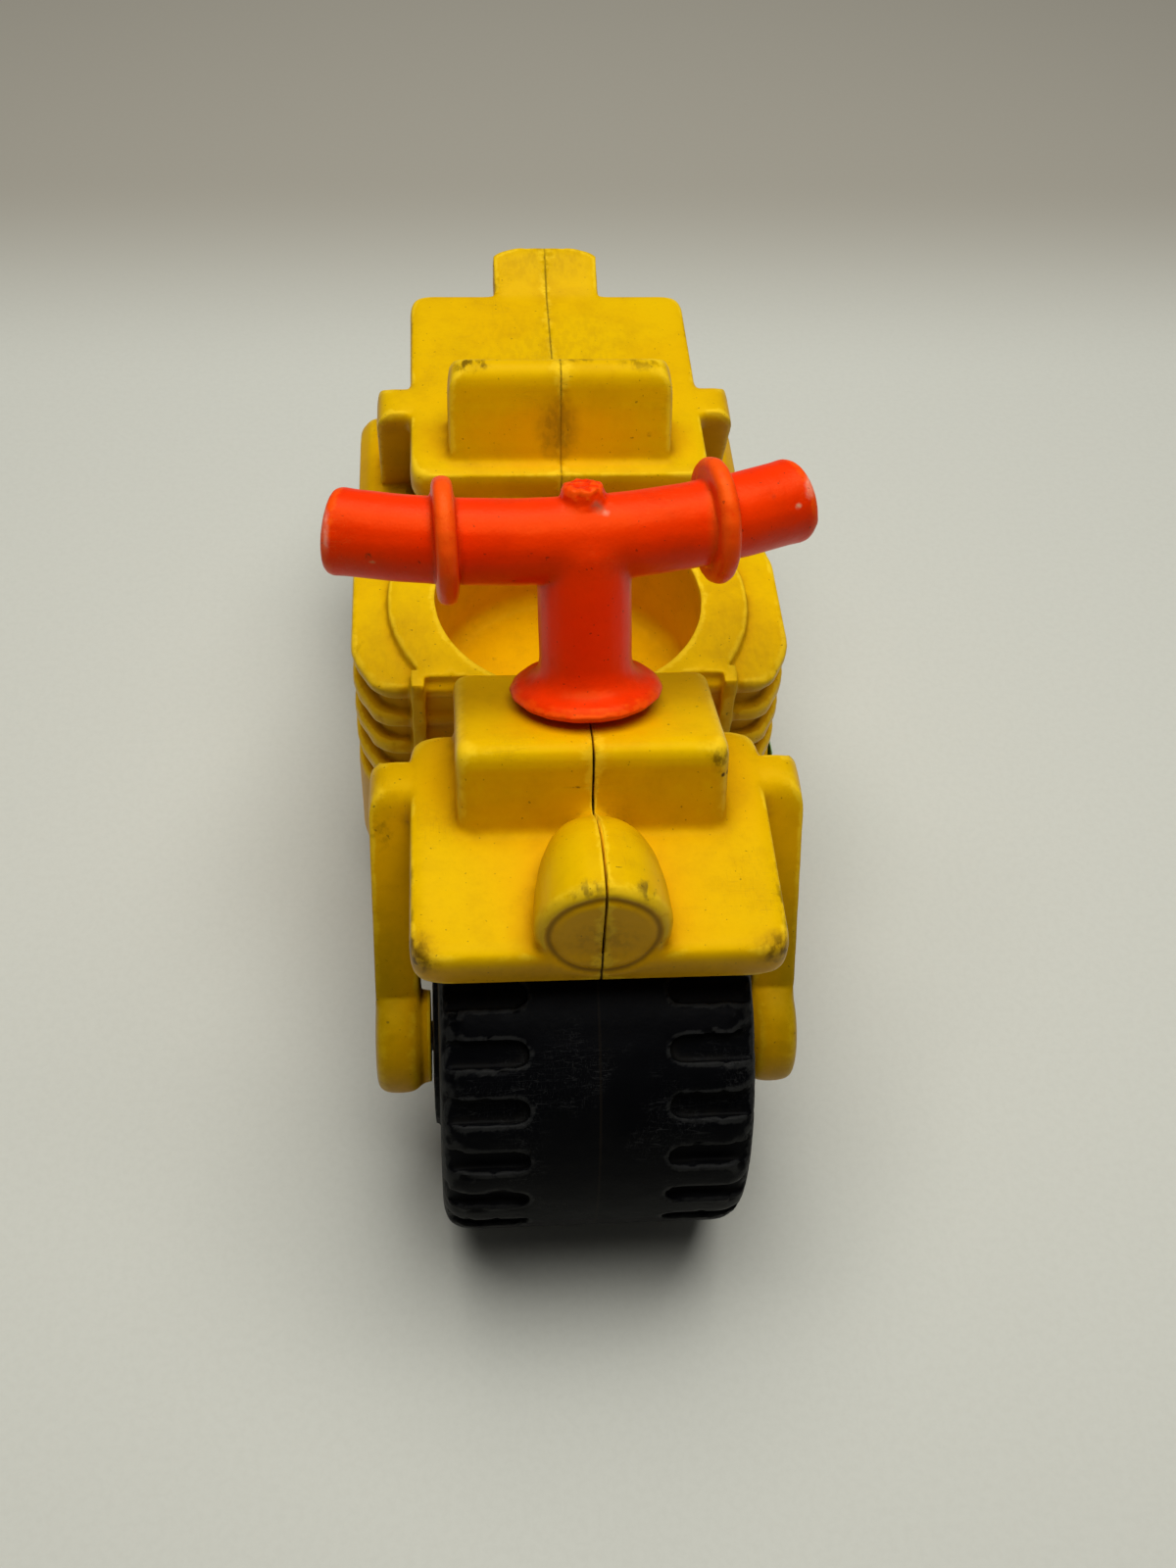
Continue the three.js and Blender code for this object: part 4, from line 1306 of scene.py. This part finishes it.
@dataclass
class BodyHalf(Moulding):
    """One half of the body, softened as a whole and cut cleanly at the seam."""

    side: Side = Side.LEFT
    gap: float = 0.3
    past_seam: float = 3.0
    cut: float = 0.1
    closed: float = 0.02
    closed_from: float = -14.0
    weld_reach: float = 0.5
    crack_from: Point = (0.0, -52.6, 47.2)
    crack_to: Point = (0.0, -20.0, 56.0)
    crack_open: float = 0.11
    crack_reach: float = 0.4
    crack_start: float = 0.25
    wobble: float = 0.6
    wobble_scale: float = 0.5
    fillet_reach: int = 3
    fillet_sharp: float = 0.35
    fillet_rounds: int = 14
    fillet_above: float = 44.0
    lamp: Point = (0.0, -52.05, 49.8)
    lamp_radius: float = 6.6
    lamp_rim: float = 0.9
    lamp_length: float = 14.6
    lamp_skin: float = 0.3
    lamp_foot: float = 47.1
    lamp_slope_from: float = -46.0
    lamp_slope_to: float = -36.4
    lamp_slope: float = 0.5
    lamp_tip: Point = (0.0, -36.7, 49.4)
    tip_reach: float = 4.2
    tip_rounds: int = 40
    lens_flat: float = 5.65
    lens_groove: float = 5.2
    groove_half_width: float = 0.7
    groove_depth: float = 0.25
    groove_from: float = 0.1
    face_reach: float = 0.5
    shelter_cell: float = 1.0
    shelter_reach: int = 24
    shelter_ways: int = 12

    def prepare(self, mesh: bpy.types.Mesh) -> None:
        """Carry the half past the seam, so that softening doesn't round its edge.

        Args:
            mesh: the copy.
        """
        push_seam(mesh, (self.side,), self.gap, self.past_seam)
        points = coordinates(mesh) / MM
        across, along = self._round_lamp(points)
        groove = (across < self.lens_flat) & (along > self.groove_from) & (along < self.lamp_rim)
        points[groove, 1] = self.lamp[1]
        write_points(mesh, points * MM)

    def _round_lamp(self, points: np.ndarray) -> tuple[np.ndarray, np.ndarray]:
        """Measure points from the headlight's axis.

        Args:
            points: the points, in millimetres.

        Returns:
            How far off the axis they are, and how far behind the lamp's face.
        """
        away = points - self.lamp
        return np.hypot(away[:, 0], away[:, 2]), away[:, 1]

    def carve(self, mesh: bpy.types.Mesh) -> None:
        """Round the inner corners and finish the headlight.

        Args:
            mesh: the softened mesh.
        """
        hollow = np.clip(bends(mesh, self.fillet_reach) / self.fillet_sharp, 0, 1)
        hollow *= coordinates(mesh)[:, 2] > self.fillet_above * MM
        relax(mesh, hollow, self.fillet_rounds)
        points = coordinates(mesh) / MM
        across, along = self._round_lamp(points)
        bullet = np.clip((along - self.lamp_rim) / self.lamp_length, 0, 1)
        skin = self.lamp_radius * np.sqrt(1 - bullet**2)
        on_lamp = (along > 0) & (along < self.lamp_rim + self.lamp_length)
        on_lamp &= (np.abs(across - skin) < self.lamp_skin) & (points[:, 2] > self.lamp_foot)
        back = (points[:, 1] - self.lamp_slope_from) / (self.lamp_slope_to - self.lamp_slope_from)
        low = 1 - self.lamp_slope * np.clip(back, 0, 1) ** 2
        sunk = self.lamp_foot + (points[:, 2] - self.lamp_foot) * low
        points[:, 2] = np.where(on_lamp, sunk, points[:, 2])
        off = np.abs(across - self.lens_groove) / self.groove_half_width
        on_face = (np.abs(along) < self.face_reach) & (off < 1)
        points[:, 1] += np.where(on_face, self.groove_depth * (1 + np.cos(math.pi * off)) / 2, 0)
        write_points(mesh, points * MM)
        relax(mesh, nearness(points * MM, self.lamp_tip, self.tip_reach), self.tip_rounds)

    def shape(self, piece: bpy.types.Object) -> None:
        """Cut the half at the seam and open the crack over the headlight.

        Args:
            piece: the softened object.
        """
        grid = bmesh.new()
        grid.from_mesh(piece.data)
        sign = self.side.value
        cut = bmesh.ops.bisect_plane(
            grid,
            geom=[*grid.verts, *grid.edges, *grid.faces],
            dist=ON_PLANE * MM,
            plane_co=(sign * self.cut / 2 * MM, 0, 0),
            plane_no=(-sign, 0, 0),
            clear_outer=True,
        )
        rim = [e for e in cut["geom_cut"] if isinstance(e, bmesh.types.BMEdge)]
        bmesh.ops.triangle_fill(grid, use_beauty=True, use_dissolve=False, edges=rim)
        for vert in grid.verts:
            if abs(vert.co.x) < self.cut * MM and vert.co.y > self.closed_from * MM:
                vert.co.x = sign * self.closed / 2 * MM
        self._open_crack(grid)
        at_seam = [v for v in grid.verts if abs(v.co.x) < self.weld_reach * MM]
        bmesh.ops.remove_doubles(grid, verts=at_seam, dist=WELD * MM)
        bmesh.ops.recalc_face_normals(grid, faces=grid.faces)
        grid.to_mesh(piece.data)
        grid.free()

    def mask(self, mesh: bpy.types.Mesh) -> None:
        """Mark how far the rest of the body shuts each point in, for the painted shade.

        Args:
            mesh: the finished mesh.
        """
        add_shelter(mesh, self.shelter_cell, self.shelter_reach, self.shelter_ways)

    def _open_crack(self, grid: bmesh.types.BMesh) -> None:
        """Draw the seam faces back where the halves gape.

        Args:
            grid: the half.
        """
        low, high = Vector(self.crack_from) * MM, Vector(self.crack_to) * MM
        for vert in grid.verts:
            near = abs(vert.co.x) <= self.crack_reach * MM
            if not near or not low.y < vert.co.y < high.y or vert.co.z < low.z:
                continue
            along = (vert.co.y - low.y) / (high.y - low.y)
            there = (0.0, vert.co.y / MM * self.wobble_scale, vert.co.z / MM * self.wobble_scale)
            wobble = 1 + self.wobble * noise.noise(there)
            swell = math.sin(math.pi * min(1.0, self.crack_start + along))
            open_by = self.crack_open * wobble * swell
            vert.co.x += self.side.value * max(0.0, open_by) * MM


@dataclass
class Wheel(Moulding):
    """A wheel: its two halves welded at the parting line."""

    voxel: float = 0.32
    gap: float = 0.1
    past_seam: float = 0.3
    nick: float = 0.4
    nick_rounds: int = 2
    nick_sharp: float = 0.6
    nick_scale: float = 0.8

    def prepare(self, mesh: bpy.types.Mesh) -> None:
        """Close the parting line, so that softening welds the halves.

        Args:
            mesh: the copy.
        """
        push_seam(mesh, (Side.LEFT, Side.RIGHT), self.gap, self.past_seam)

    def carve(self, mesh: bpy.types.Mesh) -> None:
        """Nick the worn edges of the tread.

        Args:
            mesh: the softened mesh.
        """
        sharp = np.clip(-bends(mesh, self.nick_rounds) / self.nick_sharp, 0, 1)
        points = coordinates(mesh)
        normals = directions(mesh)
        for index in np.flatnonzero(sharp):
            lump = max(0.0, noise.fractal(points[index] / MM * self.nick_scale, *FRACTAL))
            points[index] -= normals[index] * (self.nick * sharp[index] * lump * MM)
        write_points(mesh, points)


@dataclass
class Handlebar(Moulding):
    """The handlebar, with the torn gate on top of its bar."""

    voxel: float = 0.26
    base: Point = (0.0, -24.25, 52.1)
    axis: Point = (0.0, 0.363, 0.932)
    stem_slack: float = 0.1
    foot_from: float = -3.9
    foot_middle: float = -5.6
    foot_slack: float = 0.3
    foot_rate: float = 2.0
    gate: Point = (-0.5, -15.9, 73.6)
    gate_reach: float = 3.6
    gate_rounds: int = 12
    torn: float = 0.4
    torn_scale: float = 1.4
    torn_level: float = 0.4
    ledge: Point = (-0.3, -22.2, 70.0)
    ledge_reach: float = 5.0
    ledge_rounds: int = 60

    def carve(self, mesh: bpy.types.Mesh) -> None:
        """Slacken the stem, blend the post into the bar and tear the gate's top with noise.

        Args:
            mesh: the softened mesh.
        """
        points = coordinates(mesh) / MM
        axis = np.array(self.axis)
        along = (points - self.base) @ axis
        spine = np.array(self.base) + along[:, None] * axis
        points += np.clip(-along, 0, self.stem_slack)[:, None] * (spine - points)
        in_foot = np.clip(self.foot_rate * (self.foot_from - along), 0, self.foot_slack)
        points += (in_foot * (self.foot_middle - along))[:, None] * axis
        write_points(mesh, points * MM)
        relax(mesh, nearness(coordinates(mesh), self.ledge, self.ledge_reach), self.ledge_rounds)
        relax(mesh, nearness(coordinates(mesh), self.gate, self.gate_reach), self.gate_rounds)
        centre = Vector(self.gate) * MM
        for vert in mesh.vertices:
            away = (vert.co - centre).length / MM
            if away < self.gate_reach:
                share = 1 - away / self.gate_reach
                lump = noise.fractal(vert.co / MM * self.torn_scale, *FRACTAL)
                vert.co += vert.normal * (self.torn * share * (lump - self.torn_level) * MM)


@dataclass
class Label:
    """A thin plain film whose upper front corner has come away."""

    name: str = "green_label_film"
    node: str = "right_flank_label"
    rows: int = 20
    thickness: float = 0.2
    lift: float = 0.08
    lift_reach: float = 6.0
    mask_rounds: int = 1
    mask_sharp: float = 2.0

    def build(self, finish: bpy.types.Material) -> bpy.types.Object:
        """Make the film and attach it.

        Args:
            finish: its material.

        Returns:
            The finished object.
        """
        low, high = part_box(self.node)
        grid = bmesh.new()
        bmesh.ops.create_grid(grid, x_segments=self.rows, y_segments=self.rows, size=HALF_WAY)
        corner = Vector((0.0, low.y, high.z))
        for vert in grid.verts:
            y = low.y + (vert.co.x + HALF_WAY) * (high.y - low.y)
            z = low.z + (vert.co.y + HALF_WAY) * (high.z - low.z)
            away = (Vector((0.0, y, z)) - corner).length / MM
            rise = self.lift * max(0.0, 1 - away / self.lift_reach) ** 2
            vert.co = Vector((low.x + (self.thickness / 2 + rise) * MM, y, z))
        thick = bmesh.ops.extrude_face_region(grid, geom=grid.faces[:])
        raised = [v for v in thick["geom"] if isinstance(v, bmesh.types.BMVert)]
        bmesh.ops.translate(grid, vec=(self.thickness * MM / 2, 0, 0), verts=raised)
        bmesh.ops.recalc_face_normals(grid, faces=grid.faces)
        mesh = meshed(grid, self.name)
        piece = linked(self.name, mesh)
        add_masks(mesh, self.mask_rounds, self.mask_sharp)
        mesh.materials.append(finish)
        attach(piece, Body.CHASSIS.value)
        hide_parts(self.node)
        LOG.info("%s: %d faces", self.name, len(mesh.polygons))
        return piece


# Studio


@dataclass(frozen=True)
class PhotoCamera:
    """The camera of the photo, in the row frame."""

    place: Point = (-13.46, -148.25, 182.03)
    yaw: float = 0.11393
    pitch: float = 0.85193
    roll: float = -0.06526
    focal_pixels: float = 1801.8
    frame_height: int = 1600
    sensor: float = 36.0
    nearest: float = 5.0
    farthest: float = 10_000.0

    def build(self) -> bpy.types.Object:
        """Make the scene's camera.

        Returns:
            The camera.
        """
        ahead = Vector(
            (
                math.sin(self.yaw) * math.cos(self.pitch),
                math.cos(self.yaw) * math.cos(self.pitch),
                -math.sin(self.pitch),
            )
        )
        level = Vector((math.cos(self.yaw), -math.sin(self.yaw), 0.0))
        down = ahead.cross(level)
        right = level * math.cos(self.roll) + down * math.sin(self.roll)
        drop = down * math.cos(self.roll) - level * math.sin(self.roll)
        data = bpy.data.cameras.new("photo_camera")
        data.sensor_width = self.sensor
        data.lens = self.focal_pixels * self.sensor / self.frame_height
        data.clip_start, data.clip_end = self.nearest * MM, self.farthest * MM
        camera = linked("photo_camera", data)
        turn = Matrix((right, -drop, -ahead)).transposed().to_4x4()
        camera.matrix_world = Matrix.Translation(Vector(self.place) * MM) @ turn
        bpy.context.scene.camera = camera
        return camera


@dataclass(frozen=True)
class Lamp:
    """A soft square light that faces a point."""

    name: str
    place: Point
    target: Point
    size: float
    power: float
    colour: Colour = (1.0, 1.0, 0.985)

    def build(self) -> None:
        """Make the light."""
        data = bpy.data.lights.new(self.name, "AREA")
        data.size = self.size * MM
        data.energy = self.power
        data.color = self.colour
        lamp = linked(self.name, data)
        lamp.location = Vector(self.place) * MM
        aim = (Vector(self.target) - Vector(self.place)).to_track_quat("-Z", "Y")
        lamp.rotation_euler = aim.to_euler()


@dataclass(frozen=True)
class Studio:
    """A pale floor, painted darker towards the back as shade, even sky light and soft lamps."""

    floor_near: Colour = (0.59, 0.59, 0.52)
    floor_far_shade: Colour = (0.365, 0.34, 0.28)
    fade_from: float = 100.0
    fade_to: float = 168.0
    floor_size: float = 3000.0
    floor_roughness: float = 0.85
    speckle: Colour = (0.4, 0.39, 0.33)
    speckle_share: float = 0.1
    sky: float = 0.055
    sky_colour: Colour = (1.0, 0.99, 0.97)
    lamps: tuple[Lamp, ...] = (
        Lamp("over", (15.0, 26.0, 450.0), (0.0, 0.0, 30.0), 400.0, 2.47),
    )

    def build(self) -> None:
        """Make the floor, the sky and the lamps."""
        world = bpy.data.worlds.new("even_sky")
        bpy.context.scene.world = world
        world.use_nodes = True
        sky = world.node_tree.nodes["Background"]
        sky.inputs["Color"].default_value = (*self.sky_colour, 1.0)
        sky.inputs["Strength"].default_value = self.sky
        for lamp in self.lamps:
            lamp.build()
        grid = bmesh.new()
        bmesh.ops.create_grid(grid, x_segments=1, y_segments=1, size=self.floor_size * MM)
        floor = linked("floor", meshed(grid, "floor"))
        floor.data.materials.append(self._floor_material())
        view = bpy.context.scene.view_settings
        view.view_transform = "Standard"
        view.look = "None"

    def _floor_material(self) -> bpy.types.Material:
        """Make the floor's pale, slightly mottled paper, painted darker towards the back as shade.

        Returns:
            The material.
        """
        made = bpy.data.materials.new("pale_paper")
        made.use_nodes = True
        graph = Graph(made.node_tree)
        place = graph.place()
        # painted shade: the floor darkens towards the back
        far = graph.span(graph.part(place, "Y"), self.fade_from, self.fade_to)
        colour = graph.mix(far, self.floor_near, self.floor_far_shade)
        speckle = graph.times(graph.blotches(place, Pattern.PAPER, Span.PAPER), self.speckle_share)
        shader = made.node_tree.nodes["Principled BSDF"]
        graph.feed(shader.inputs["Base Color"], graph.mix(speckle, colour, self.speckle))
        shader.inputs["Roughness"].default_value = self.floor_roughness
        return made


class ToyMotorcycle:
    """The whole toy: its mouldings, wheels, pins and label."""

    def __init__(self) -> None:
        """Make the finishes."""
        effects = Effects()
        finishes = {
            Slot.YELLOW: YELLOW,
            Slot.RED: RED,
            Slot.BLACK: BLACK,
            Slot.GREEN: GREEN,
            Slot.STEEL: STEEL,
        }
        self.finishes = {slot: finish.material(effects) for slot, finish in finishes.items()}

    def pieces(self) -> list[Moulding]:
        """List the mouldings.

        Returns:
            The softened pieces.
        """
        halves = [
            BodyHalf(f"{word}_body_moulding", (f"{word}_body_half",), Body.CHASSIS, Slot.YELLOW, side=side)
            for word, side in (("left", Side.LEFT), ("right", Side.RIGHT))
        ]
        wheels = [
            Wheel(
                f"{end}_wheel_moulding",
                (f"{end}_wheel_left_half", f"{end}_wheel_right_half"),
                body,
                Slot.BLACK,
            )
            for end, body in (("front", Body.FRONT_WHEEL), ("rear", Body.REAR_WHEEL))
        ]
        bar = Handlebar("handlebar_moulding", ("handlebar",), Body.HANDLEBAR, Slot.RED)
        return [*halves, *wheels, bar]

    def build(self) -> None:
        """Make every visible piece."""
        for piece in self.pieces():
            piece.build(self.finishes[piece.slot])
        Label().build(self.finishes[Slot.GREEN])
        for node in ("front_axle", "rear_axle"):
            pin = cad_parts[node]
            pin.data.materials.clear()
            pin.data.materials.append(self.finishes[Slot.STEEL])
            LOG.info("%s: CAD mesh kept", node)


def main() -> None:
    """Build the toy and its studio."""
    ToyMotorcycle().build()
    Studio().build()
    PhotoCamera().build()


if __name__ == "__main__":
    main()
